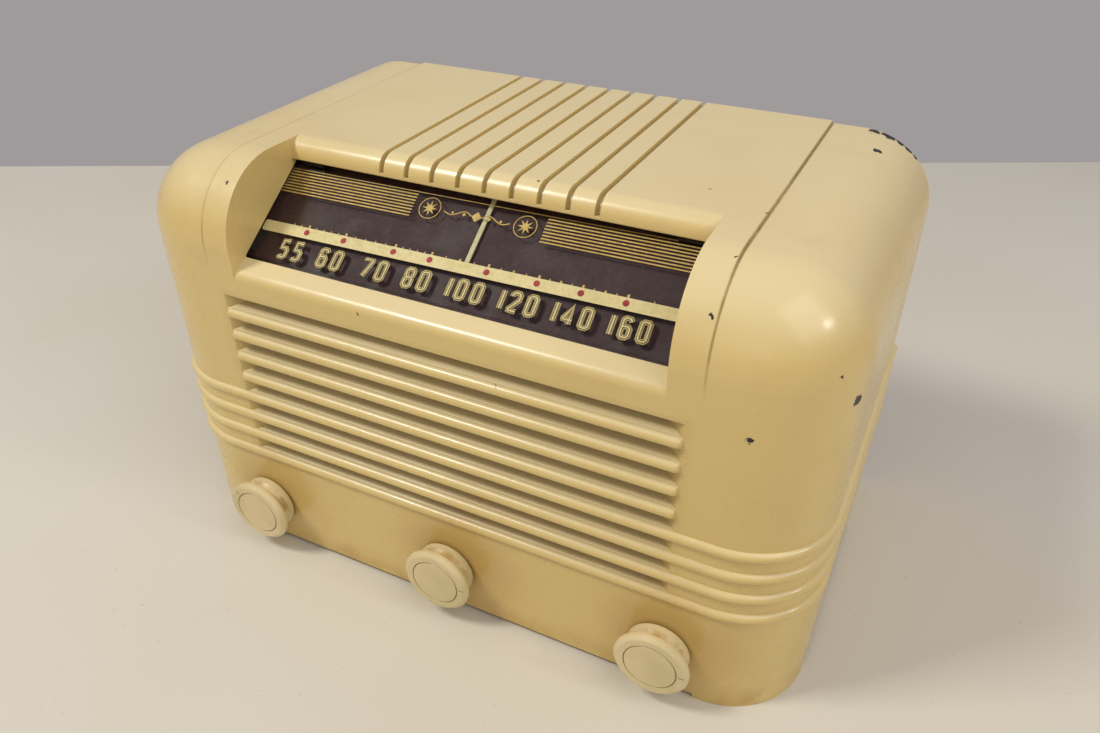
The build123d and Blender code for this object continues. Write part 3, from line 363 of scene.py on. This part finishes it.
def mouldKnobs(look):
    knob = Finish("knobPlastic")
    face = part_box("knob_tone")[0].y
    mottle = knob.noise(150.0, 4.0, 0.6)
    drift = knob.noise(40.0, 2.0, 0.5)
    tone = knob.mix(knob.step(drift, 0.4, 0.65, 0.0, 0.6), look["colour"], look["green"])
    near, far = look["waist"]
    waist = knob.together(knob.band(knob.y, face + near, face + far, 0.0007),
                          knob.step(knob.noise(130.0, 5.0, 0.65), 0.38, 0.66))
    # the waist under the knob's face is painted darker: stain and painted shade
    tone = knob.mix(knob.calc("MULTIPLY", waist, look["waistShare"]), tone, look["stainAndShade"])
    tone = knob.mix(knob.step(mottle, 0.55, 0.8, 0.0, 0.12), tone, look["stainAndShade"])
    rings = []
    for centre in knobCentres.values():
        away = knob.calc("SUBTRACT", knob.fromAxis((centre.x, centre.z)), look["ring"])
        rings.append(knob.step(knob.calc("ABSOLUTE", away), 0.0001, 0.00042, 1.0, 0.0))
    shallow, deep = look["ringDepth"]
    groove = knob.together(knob.widest(rings), knob.step(knob.y, face + shallow, face + deep, 1.0, 0.0))
    # the ring groove of the face is painted darker: grime and painted shade
    tone = knob.mix(knob.calc("MULTIPLY", groove, look["grooveShare"]), tone, look["groove"])
    normal = knob.bump(knob.noise(500.0, 2.0), 0.04, 0.0004)
    normal = knob.bump(mottle, 0.06, 0.0006, normal)
    rough = knob.step(mottle, 0.35, 0.7, look["rough"] - 0.05, look["rough"] + 0.1)
    return knob.dress(colour=tone, rough=rough, normal=normal, under=0.04, underScale=0.004)


# plain metals, papers and plastics, inside and behind
enamel = {"grain": (300, 300, 300), "spots": 300.0, "metal": 0.0}  # a metal finish under paint


def metalFinish(name, base, dark, rough, grain=(60, 900, 60), spots=240.0, metal=1.0):
    metalwork = Finish(name)
    brushed = metalwork.noise(1.0, 4.0, 0.6, 0.0, metalwork.stretched(grain))
    cloud = metalwork.noise(spots * 0.25, 4.0, 0.6)
    speck = metalwork.noise(spots, 4.0, 0.7)
    tone = metalwork.mix(metalwork.step(cloud, 0.4, 0.68, 0.0, 0.55), base, dark)
    tone = metalwork.mix(metalwork.step(speck, 0.62, 0.75, 0.0, 0.45), tone, dark)
    normal = metalwork.bump(brushed, 0.12, 0.0003)
    wear = metalwork.calc("ADD", metalwork.step(cloud, 0.3, 0.7, rough - 0.06, rough + 0.12),
                          metalwork.calc("MULTIPLY", brushed, 0.08))
    return metalwork.dress(colour=tone, metal=metal, rough=wear, normal=normal)


def fibreFinish(name, base, dark, rough, scale=260.0):
    board = Finish(name)
    wide = board.noise(30.0, 4.0, 0.6)
    fibre = board.noise(scale, 6.0, 0.7, 0.8)
    tone = board.mix(board.step(fibre, 0.35, 0.7), dark, base)
    tone = board.mix(board.step(wide, 0.5, 0.75, 0.0, 0.3), tone, dark)
    return board.dress(colour=tone, rough=board.step(fibre, 0.3, 0.7, rough - 0.08, rough + 0.08),
                       normal=board.bump(fibre, 0.35, 0.0005))


# cotton-covered wire or waxed windings laid side by side
def windingFinish(name, base, dark, pitch, axis):
    coil = Finish(name)
    along = {"x": coil.x, "y": coil.y, "z": coil.z}[axis]
    turns = coil.calc("FRACT", coil.calc("DIVIDE", along, pitch))
    turns = coil.calc("ABSOLUTE", coil.calc("SUBTRACT", turns, 0.5))
    fuzz = coil.noise(600.0, 5.0, 0.7)
    tone = coil.mix(coil.step(turns, 0.12, 0.5), base, dark)
    tone = coil.mix(coil.step(fuzz, 0.45, 0.7, 0.0, 0.5), tone, dark)
    normal = coil.bump(coil.calc("SUBTRACT", 0.5, turns), 0.8, 0.0006)
    return coil.dress(colour=tone, rough=coil.step(fuzz, 0.3, 0.7, 0.62, 0.85),
                      normal=coil.bump(fuzz, 0.2, 0.0003, normal))


def mouldedFinish(name, base, dark, rough, fleck=320.0):
    plastic = Finish(name)
    swirl = plastic.noise(70.0, 4.0, 0.6, 1.2)
    speck = plastic.noise(fleck, 3.0, 0.6)
    tone = plastic.mix(plastic.step(swirl, 0.4, 0.65), base, dark)
    return plastic.dress(colour=tone, rough=plastic.step(speck, 0.3, 0.7, rough - 0.07, rough + 0.1),
                         normal=plastic.bump(speck, 0.08, 0.0003))


def glassFinish(name, tint, smoke=None):
    glass = Finish(name)
    smear = glass.noise(60.0, 5.0, 0.65, 0.6)
    greasy = (tint[0] * 0.82, tint[1] * 0.84, tint[2] * 0.8, 1)
    tone = glass.mix(glass.step(smear, 0.5, 0.8, 0.0, 0.25), tint, greasy)
    if smoke:
        low, high = smoke
        tone = glass.mix(glass.step(glass.z, low, high, 0.0, 0.92), tone, srgb(70, 68, 70))
    return glass.dress(colour=tone, rough=glass.step(smear, 0.45, 0.8, 0.01, 0.05), ior=1.5, clear=1.0,
                       normal=glass.bump(smear, 0.02, 0.0003))


paneLook = {"tint": srgb(246, 249, 246), "rough": 0.03, "smeared": 0.1, "shine": 0.018, "glancing": 0.9}


# a thin flat pane: clear straight through, with a gloss that grows towards a glancing view
def paneFinish(look):
    pane = Finish("dialGlass")
    smear = pane.noise(26.0, 5.0, 0.65, 0.6)
    clear = pane.add("ShaderNodeBsdfTransparent", {"Color": look["tint"]})
    rough = pane.step(smear, 0.4, 0.75, look["rough"], look["smeared"])
    gloss = pane.add("ShaderNodeBsdfGlossy", {"Roughness": rough})
    facing = pane.add("ShaderNodeLayerWeight", {"Blend": 0.5}).outputs["Facing"]
    share = pane.calc("MULTIPLY", pane.calc("POWER", facing, 5.0), look["glancing"])
    share = pane.calc("ADD", share, look["shine"])
    mixer = pane.add("ShaderNodeMixShader", {0: share, 1: clear.outputs[0], 2: gloss.outputs[0]})
    pane.links.new(mixer.outputs[0], pane.nodes["Material Output"].inputs["Surface"])
    pane.nodes.remove(pane.shader)
    return pane.material


def dialFinish():
    plate = Finish("dialPaint")
    fleck = plate.noise(420.0, 4.0, 0.7)
    dust = plate.noise(55.0, 5.0, 0.6, 0.5)
    tone = plate.mix(plate.step(fleck, 0.38, 0.68), srgb(50, 10, 24), srgb(70, 26, 40))
    tone = plate.mix(plate.step(dust, 0.5, 0.8, 0.0, 0.12), tone, srgb(100, 80, 80))
    return plate.dress(colour=tone, rough=plate.step(dust, 0.3, 0.7, 0.46, 0.66),
                       normal=plate.bump(fleck, 0.1, 0.0002))


def inkFinish(name, base, worn, rough=0.5):
    ink = Finish(name)
    patch = ink.noise(520.0, 4.0, 0.7)
    wide = ink.noise(48.0, 3.0, 0.6)
    tone = ink.mix(ink.step(patch, 0.42, 0.72, 0.0, 0.6), base, worn)
    tone = ink.mix(ink.step(wide, 0.45, 0.7, 0.0, 0.35), tone, worn)
    return ink.dress(colour=tone, rough=ink.step(patch, 0.3, 0.7, rough - 0.1, rough + 0.1),
                     normal=ink.bump(patch, 0.1, 0.0001))


finishes = {
    "ivory_paint": paintCabinet(cabinetLook),
    "knob_ivory": mouldKnobs(knobLook),
    "hardboard": fibreFinish("pressedBoard", srgb(126, 88, 56), srgb(82, 54, 34), 0.72),
    "steel": metalFinish("platedSteel", srgb(196, 194, 186), srgb(120, 112, 98), 0.34),
    "chassis_steel": metalFinish("cadmiumSheet", srgb(178, 178, 172), srgb(112, 110, 102), 0.42,
                                 grain=(40, 40, 700)),
    "speaker_steel": metalFinish("greyEnamel", srgb(94, 95, 98), srgb(58, 58, 60), 0.45, **enamel),
    "clear_glass": paneFinish(paneLook),
    "dial_paint": dialFinish(),
    "pointer_paint": inkFinish("creamPaint", srgb(236, 220, 182), srgb(206, 186, 144), 0.6),
    "brass": metalFinish("turnedBrass", srgb(206, 168, 94), srgb(132, 98, 48), 0.3),
    "aluminium": metalFinish("dullAluminium", srgb(206, 206, 204), srgb(150, 150, 148), 0.38),
    "bakelite": mouldedFinish("brownPhenolic", srgb(66, 40, 28), srgb(36, 22, 17), 0.36),
    "dial_cord": windingFinish("waxedCord", srgb(128, 104, 72), srgb(70, 52, 34), 0.0009, "x"),
    "cone_paper": fibreFinish("conePaper", srgb(74, 70, 64), srgb(44, 41, 38), 0.85, 380.0),
    "magnet_iron": metalFinish("bareIron", srgb(120, 118, 116), srgb(74, 66, 58), 0.5,
                               grain=(80, 80, 80), spots=340.0),
    "coil_wrap": windingFinish("waxedPaper", srgb(176, 142, 92), srgb(122, 92, 54), 0.004, "z"),
    "tube_shell": metalFinish("blackEnamelAndShade", srgb(38, 38, 40), srgb(22, 22, 24), 0.32, **enamel),
    "tube_glass": glassFinish("tubeGlass", srgb(236, 240, 238), (0.094, 0.112)),
    "lamp_glass": glassFinish("lampGlass", srgb(244, 240, 226)),
    "antenna_wire": windingFinish("cottonWire", srgb(150, 96, 52), srgb(86, 50, 28), 0.0016, "z"),
    "rubber": mouldedFinish("agedRubber", srgb(46, 42, 38), srgb(28, 25, 23), 0.7, 520.0),
}
for part in frame["record"]["subparts"]:
    if part["material_slot"] in finishes:
        giveMaterial(nodes[part["node"]], finishes[part["material_slot"]])
# the dial clips and brackets are painted black to stand for the shade they sit in beside the dial
for beside in ("dial_clips", "dial_brackets"):  # given the black finish so that they stay as dark as the shade beside the dial: painted shade
    giveMaterial(nodes[beside], finishes["tube_shell"])
print("finishes on the parts:", len(finishes))

# the grille cloth behind the louvres
clothLook = {
    "thread": 0.00115, "base": srgb(104, 82, 44), "dark": srgb(58, 42, 20), "thick": 0.00012,
    "ripple": 0.00016, "ripplesAcross": 210, "ripplesUp": 330, "gluedEdge": 0.01, "grid": (110, 48),
}


def grilleFinish(look):
    cloth = Finish("grilleWeave")
    across = cloth.calc("SINE", cloth.calc("MULTIPLY", cloth.x, math.tau / look["thread"]))
    upward = cloth.calc("SINE", cloth.calc("MULTIPLY", cloth.z, math.tau / look["thread"]))
    weave = cloth.calc("MULTIPLY", across, upward)
    tone = cloth.mix(cloth.step(weave, -0.8, 0.8), look["dark"], look["base"])
    tone = cloth.mix(cloth.step(cloth.noise(55.0, 4.0), 0.45, 0.7, 0.0, 0.5), tone, look["dark"])
    return cloth.dress(colour=tone, rough=cloth.step(weave, -1, 1, 0.95, 0.8), sheen=0.25,
                       normal=cloth.bump(weave, 0.7, 0.0003))


def hangGrilleCloth(look):
    low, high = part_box("grille_cloth")
    size = high - low
    deselectAll()
    columns, rows = look["grid"]
    bpy.ops.mesh.primitive_grid_add(x_subdivisions=columns, y_subdivisions=rows, size=1, location=(0, 0, 0))
    cloth = bpy.context.object
    cloth.name = cloth.data.name = "grilleCloth"
    bpy.ops.object.mode_set(mode="EDIT")
    bpy.ops.mesh.select_all(action="SELECT")
    bpy.ops.transform.resize(value=(size.x, size.z, 1))
    bpy.ops.object.mode_set(mode="OBJECT")
    # threads pull the cloth very slightly in and out of plane, less near its glued edge
    for point in cloth.data.vertices:
        x, y = point.co.x, point.co.y
        edge = min(1.0, (size.x / 2 - abs(x)) / look["gluedEdge"], (size.z / 2 - abs(y)) / look["gluedEdge"])
        ripple = math.sin(x * look["ripplesAcross"]) * math.sin(y * look["ripplesUp"])
        point.co.z = look["ripple"] * edge * ripple
    cloth.rotation_euler = (math.radians(90), 0, 0)
    cloth.location = ((low.x + high.x) / 2, (low.y + high.y) / 2, (low.z + high.z) / 2)
    freezePlace(cloth)
    shell = cloth.modifiers.new("thickness", "SOLIDIFY")
    shell.thickness = look["thick"]
    shell.offset = 0
    pick(cloth)
    bpy.ops.object.modifier_apply(modifier=shell.name)
    bpy.ops.object.shade_smooth()
    finishPiece(cloth, "cabinet", grilleFinish(look))
    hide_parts("grille_cloth")


hangGrilleCloth(clothLook)
print("grille cloth stretched")

# Printing on the back of the dial glass: flat work is laid out as (x, distance up the glass),
# in millimetres, then put in place.
dialLook = {
    "angle": math.radians(35.5), "footDepth": 9.7, "footHeight": 163.1, "backOfGlass": 2.55,
    "tilt": 0.0153, "tiltAbout": 20.1, "inkThick": 0.012,
    "halfWidth": 100.6, "bandLow": 17.2, "bandHigh": 22.5, "dotHeight": 20.1, "dotRadius": 1.4,
    "numberHeight": 10.4, "digitWide": 3.3, "digitTall": 7.95, "digitStep": 7.25,
    "core": 0.42, "gap": 0.68, "line": 1.25,
    "lineDepth": 0.14, "tickDepth": 0.13, "flatDepth": 0.10, "topDepth": 0.06,
    "tickFoot": 0.3, "mainTick": (0.5, 1.35), "halfTick": (0.45, 0.95), "smallTick": (0.22, 0.8),
    "outerTicks": (-4.2, -8.0, 10.5),
    "lines": 8, "lineLow": 37.84, "linePitch": 1.5, "lineThick": 0.62, "leftEnd": -32.4, "rightEnd": 29.4,
    "topLine": 49.87, "topLineEnd": 84.0, "topLineThick": 0.35,
    "ringHeight": 43.4, "ringRadius": 5.0, "ringHalf": 0.22, "ringX": (-24.3, 21.0),
    "starRadius": 3.7, "starWaist": 0.36, "waveFrom": 2.6, "waveLong": 13.0, "waveTall": 1.5,
    "waveFade": 0.35, "waveHalf": 0.27,
    "cream": srgb(236, 216, 160), "gold": srgb(222, 184, 100), "red": srgb(178, 22, 26),
    "dark": srgb(40, 22, 26),
}
# each numeral's middle and its dot, across the glass
dialNumbers = {
    "55": (-80.5, -77.0), "60": (-59.7, -57.4), "70": (-36.9, -31.9), "80": (-16.1, -14.0),
    "100": (6.95, 12.7), "120": (31.1, 35.3), "140": (54.3, 54.2), "160": (77.75, 72.8),
}
# where each lozenge stands from the middle, and its size
lozenges = ((0, 2.4), (-6.0, 0.9), (6.0, 0.9), (-11.4, 0.7), (11.4, 0.7))
# the middle line of each numeral's stroke, as shares of its width and height, and whether it closes
numerals = {
    "0": ([(0, .1), (.24, 0), (.76, 0), (1, .1), (1, .9), (.76, 1), (.24, 1), (0, .9)], True),
    "1": ([(.5, 0), (.5, 1)], False),
    "2": ([(0, .78), (0, .9), (.24, 1), (.76, 1), (1, .9), (1, .62), (0, .1), (0, 0), (1, 0)], False),
    "4": ([(.78, 0), (.78, 1), (0, .3), (0, .22), (1.1, .22)], False),
    "5": ([(1, 1), (0, 1), (0, .56), (.76, .56), (1, .44), (1, .1), (.76, 0), (.24, 0), (0, .1)], False),
    "6": ([(1, .84), (.76, 1), (.24, 1), (0, .9), (0, .1), (.24, 0), (.76, 0), (1, .1), (1, .44),
           (.76, .56), (.02, .56)], False),
    "7": ([(0, .9), (0, 1), (1, 1), (1, .9), (.3, 0)], False),
    "8": ([(.2, .52), (0, .63), (0, .9), (.24, 1), (.76, 1), (1, .9), (1, .63), (.8, .52), (1, .41),
           (1, .1), (.76, 0), (.24, 0), (0, .1), (0, .41), (.2, .52), (.8, .52)], False),
}


# from flat dial work to its place, at a depth below the face of the glass
def dialPlace(look, drop):
    foot = Vector((0, frontFace + look["footDepth"] * mm, look["footHeight"] * mm))
    turn = Matrix.Rotation(look["angle"], 4, "X")
    about = Vector((0, look["tiltAbout"], 0))
    tilt = Matrix.Translation(about) @ Matrix.Rotation(look["tilt"], 4, "Z") @ Matrix.Translation(-about)
    sunk = Matrix.Translation((0, 0, -drop * mm)) @ Matrix.Scale(mm, 4)
    return Matrix.Translation(foot) @ turn @ sunk @ tilt


# a printed stroke: a drawn line given a low, flat ink section
def stroke(points, closed, halfWidth):
    line = bpy.data.curves.new("stroke", "CURVE")
    line.dimensions = "3D"
    line.bevel_depth = halfWidth
    line.bevel_resolution = 1
    line.use_fill_caps = True
    spline = line.splines.new("POLY")
    spline.points.add(len(points) - 1)
    for point, (x, s) in zip(spline.points, points):
        point.co = (x, s, 0, 1)
    spline.use_cyclic_u = closed
    piece = bpy.data.objects.new("stroke", line)
    bpy.context.scene.collection.objects.link(piece)
    pick(piece)
    bpy.ops.object.convert(target="MESH")
    piece = bpy.context.object
    bpy.ops.object.mode_set(mode="EDIT")
    bpy.ops.mesh.select_all(action="SELECT")
    bpy.ops.transform.resize(value=(1, 1, dialLook["inkThick"] / halfWidth), center_override=(0, 0, 0))
    bpy.ops.object.mode_set(mode="OBJECT")
    return piece


def lay(parts, name, drop, material):
    piece = joinPieces(parts, name)
    freezePlace(piece)
    piece.data.transform(dialPlace(dialLook, drop))
    piece.data.update()
    return finishPiece(piece, "cabinet", material)


# a printed bar from one place across the glass to another, and up it, with its corners taken off
def flatPatch(x0, x1, s0, s1):
    deselectAll()
    bpy.ops.mesh.primitive_plane_add(size=1, location=((x0 + x1) / 2, (s0 + s1) / 2, 0))
    patch = bpy.context.object
    bpy.ops.object.mode_set(mode="EDIT")
    bpy.ops.mesh.select_all(action="SELECT")
    bpy.ops.transform.resize(value=(x1 - x0, s1 - s0, 1))
    bpy.ops.mesh.bevel(offset=min(x1 - x0, s1 - s0) * 0.12, segments=1, affect="VERTICES")
    bpy.ops.object.mode_set(mode="OBJECT")
    return patch


# a flat figure with so many corners, round a place on the glass
def flatFigure(corners, radius, x, s):
    deselectAll()
    bpy.ops.mesh.primitive_circle_add(vertices=corners, radius=radius, fill_type="NGON", location=(x, s, 0))
    return bpy.context.object


def printNumbers(look):
    # each layer's name, half the stroke's width, depth behind the glass, ink and slot
    layers = (("dialNumbersLine", look["line"], look["lineDepth"], look["lineInk"], "pointer_paint"),
              ("dialNumbersGap", look["gap"], look["flatDepth"], look["darkInk"], "dial_paint"),
              ("dialNumbersCore", look["core"], look["topDepth"], look["creamInk"], "pointer_paint"))
    for name, halfWidth, under, ink, slot in layers:
        strokes = []
        for text, (middle, dotX) in dialNumbers.items():
            wide = {digit: (0.0 if digit == "1" else look["digitWide"]) for digit in text}
            between = look["digitStep"] - look["digitWide"]
            left = middle - (sum(wide[digit] for digit in text) + between * (len(text) - 1)) / 2
            for digit in text:
                points, closed = numerals[digit]
                placed = [(left + u * wide[digit], look["numberHeight"] + (v - 0.5) * look["digitTall"])
                          for u, v in points]
                strokes.append(stroke(placed, closed, halfWidth))
                left += wide[digit] + between
        lay(strokes, name, look["backOfGlass"] + under, ink)


def printScale(look):
    band = flatPatch(-look["halfWidth"], look["halfWidth"], look["bandLow"], look["bandHigh"])
    lay([band], "dialBand", look["backOfGlass"] + look["flatDepth"], look["creamInk"])
    dotXs = [dotX for middle, dotX in dialNumbers.values()]
    dots = [flatFigure(24, look["dotRadius"], x, look["dotHeight"]) for x in dotXs]
    lay(dots, "dialDots", look["backOfGlass"] + look["topDepth"], look["redInk"])
    marks = []
    for i, x in enumerate(dotXs):
        marks.append((x, look["mainTick"]))
        if i + 1 < len(dotXs):
            steps = 5 if i < 3 else 4
            for k in range(1, steps):
                kind = "halfTick" if steps == 4 and k == 2 else "smallTick"
                marks.append((x + (dotXs[i + 1] - x) * k / steps, look[kind]))
    leftmost, further, beyond = look["outerTicks"]
    for at in (dotXs[0] + leftmost, dotXs[0] + further, dotXs[-1] + beyond):
        marks.append((at, look["smallTick"]))
    ticks = [flatPatch(at - half, at + half, look["bandHigh"] - look["tickFoot"], look["bandHigh"] + high)
             for at, (half, high) in marks]
    lay(ticks, "dialTicks", look["backOfGlass"] + look["tickDepth"], look["goldInk"])


def printLines(look):
    bars = []
    for i in range(look["lines"]):
        s0 = look["lineLow"] + i * look["linePitch"]
        s1 = s0 + look["lineThick"]
        bars.append(flatPatch(-look["halfWidth"], look["leftEnd"], s0, s1))
        bars.append(flatPatch(look["rightEnd"], look["halfWidth"], s0, s1))
    top = look["topLine"]
    bars.append(flatPatch(-look["halfWidth"], look["topLineEnd"], top, top + look["topLineThick"]))
    lay(bars, "dialLines", look["backOfGlass"] + look["flatDepth"], look["goldInk"])


# two ringed eight-point rosettes with a row of lozenges and a wave between them
def printOrnament(look):
    parts = []
    height = look["ringHeight"]
    for x in look["ringX"]:
        around = []
        for k in range(40):
            turn = math.tau * k / 40
            aside, above = look["ringRadius"] * math.cos(turn), look["ringRadius"] * math.sin(turn)
            around.append((x + aside, height + above))
        parts.append(stroke(around, True, look["ringHalf"]))
        star = flatFigure(16, look["starRadius"], x, height)
        for k, point in enumerate(star.data.vertices):
            if k % 2:
                point.co *= look["starWaist"]
        parts.append(star)
    middle = sum(look["ringX"]) / 2
    for side in (-1, 1):
        wave = []
        for k in range(25):
            along = k / 24
            tall = look["waveTall"] * math.sin(math.tau * along) * (1 - look["waveFade"] * along)
            wave.append((middle + side * (look["waveFrom"] + look["waveLong"] * along), height + tall))
        parts.append(stroke(wave, False, look["waveHalf"]))
    for aside, size in lozenges:
        parts.append(flatFigure(4, size, middle + aside, height))
    lay(parts, "dialOrnament", look["backOfGlass"] + look["flatDepth"], look["goldInk"])


dialLook["creamInk"] = inkFinish("creamInk", dialLook["cream"], srgb(214, 190, 130))
dialLook["lineInk"] = inkFinish("lineInk", srgb(228, 204, 142), srgb(176, 146, 88))
dialLook["goldInk"] = inkFinish("goldInk", dialLook["gold"], srgb(150, 112, 52))
dialLook["redInk"] = inkFinish("redInk", dialLook["red"], srgb(96, 16, 18))
dialLook["darkInk"] = inkFinish("darkInk", dialLook["dark"], srgb(34, 20, 24), 0.6)
printNumbers(dialLook)
printScale(dialLook)
printLines(dialLook)
printOrnament(dialLook)
print("dial printed")

# the index marks in the knob faces
markLook = {
    "inner": 13.0, "outer": 15.3, "half": 0.34, "proud": 0.00001,
    "turns": {"volume": 140.0, "tone": 4.0, "tuning": 2.0},
}
markInk = inkFinish("markInk", srgb(44, 32, 20), srgb(70, 52, 30), 0.7)
for knobName, turn in markLook["turns"].items():
    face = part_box("knob_" + knobName)[0].y + markLook["proud"]
    centre = knobCentres[knobName]
    mark = stroke([(markLook["inner"], 0), (markLook["outer"], 0)], False, markLook["half"])
    mark.name = mark.data.name = "indexMark_" + knobName
    upright = Matrix.Rotation(math.radians(90), 4, "X") @ Matrix.Scale(mm, 4)
    spin = Matrix.Rotation(math.radians(-turn), 4, "Y") @ upright
    mark.data.transform(Matrix.Translation((centre.x, face, centre.z)) @ spin)
    mark.data.update()
    finishPiece(mark, knobName + "_knob", markInk)
print("index marks cut")

# the table, the surround, the camera and the lights
stageLook = {
    "size": 8, "edge": 0.88, "table": srgb(220, 217, 207), "warm": srgb(210, 202, 182),
    "speck": srgb(150, 140, 120), "wall": (0.35, 0.325, 0.328, 1),
}
cameraLook = {
    "at": (0.17718, -0.33027, 0.34126), "azimuth": 26.47, "elevation": 33.96, "roll": -0.22,
    "lens": 29.21, "sensor": 36,
}


def viewAxes(azimuth, elevation, roll):
    azimuth, elevation, roll = (math.radians(a) for a in (azimuth, elevation, roll))
    away = Vector((math.sin(azimuth), -math.cos(azimuth), 0)) * math.cos(elevation)
    back = away + Vector((0, 0, math.sin(elevation)))
    right = Vector((math.cos(azimuth), math.sin(azimuth), 0))
    up = back.cross(right)
    level = right * math.cos(roll) + up * math.sin(roll)
    tall = up * math.cos(roll) - right * math.sin(roll)
    return level, tall, back


level, tall, back = viewAxes(cameraLook["azimuth"], cameraLook["elevation"], cameraLook["roll"])
lens = bpy.data.cameras.new("viewpoint")
lens.lens = cameraLook["lens"]
lens.sensor_width = cameraLook["sensor"]
lens.clip_start = 0.01
camera = bpy.data.objects.new("viewpoint", lens)
camera.matrix_world = Matrix.Translation(cameraLook["at"]) @ Matrix((level, tall, back)).transposed().to_4x4()
bpy.context.scene.collection.objects.link(camera)
bpy.context.scene.camera = camera


def tableTop(look):
    table = Finish("tableTop")
    wide = table.noise(3.0, 3.0, 0.5)
    grain = table.noise(300.0, 4.0, 0.6)
    tone = table.mix(table.step(wide, 0.35, 0.7, 0.0, 0.35), look["table"], look["warm"])
    tone = table.mix(table.step(grain, 0.66, 0.72, 0.0, 0.25), tone, look["speck"])
    table.dress(colour=tone, rough=table.step(grain, 0.3, 0.7, 0.5, 0.6),
                normal=table.bump(grain, 0.05, 0.0004))
    azimuth = math.radians(cameraLook["azimuth"])
    deselectAll()
    bpy.ops.mesh.primitive_plane_add(size=look["size"], location=(0, 0, 0))
    floor = bpy.context.object
    floor.name = floor.data.name = "tableTop"
    ahead = Vector((-math.sin(azimuth), math.cos(azimuth), 0))
    edge = Vector(cameraLook["at"]) * Vector((1, 1, 0)) + ahead * look["edge"]
    centre = edge - ahead * look["size"] / 2
    floor.data.transform(Matrix.Translation(centre) @ Matrix.Rotation(azimuth, 4, "Z"))
    floor.data.materials.append(table.material)


tableTop(stageLook)

lightLook = {
    "key": {"at": (-0.78, -0.71, 1.44), "size": (0.36, 0.36), "power": 13.5, "colour": (1.0, 0.965, 0.89)},
    "side": {"at": (1.12, -0.05, 0.82), "size": (0.08, 0.08), "power": 1.3, "colour": (1.0, 0.94, 0.84)},
    "front": {"at": (0.15, -1.6, 0.5), "size": (0.9, 0.9), "power": 1.6, "colour": (1.0, 0.965, 0.91)},
    "fill": {"at": (0.95, -0.35, 1.25), "size": (1.1, 1.1), "power": 6.8, "colour": (1.0, 0.965, 0.91)},
}
lampTarget = Vector((0.0, 0.0, 0.1))  # the middle of the radio
for name, look in lightLook.items():
    lamp = bpy.data.lights.new(name, "AREA")
    lamp.shape = "RECTANGLE"
    lamp.size, lamp.size_y = look["size"]
    lamp.energy = look["power"]
    lamp.color = look["colour"]
    holder = bpy.data.objects.new(name, lamp)
    aim = lampTarget - Vector(look["at"])
    holder.rotation_euler = aim.to_track_quat("-Z", "Y").to_euler()
    holder.location = look["at"]
    bpy.context.scene.collection.objects.link(holder)

world = bpy.data.worlds.new("room")
world.use_nodes = True
bpy.context.scene.world = world
room = world.node_tree.nodes["Background"]
room.inputs["Color"].default_value = stageLook["wall"]
bpy.context.scene.view_settings.view_transform = "Standard"
print("table, lights and camera set")
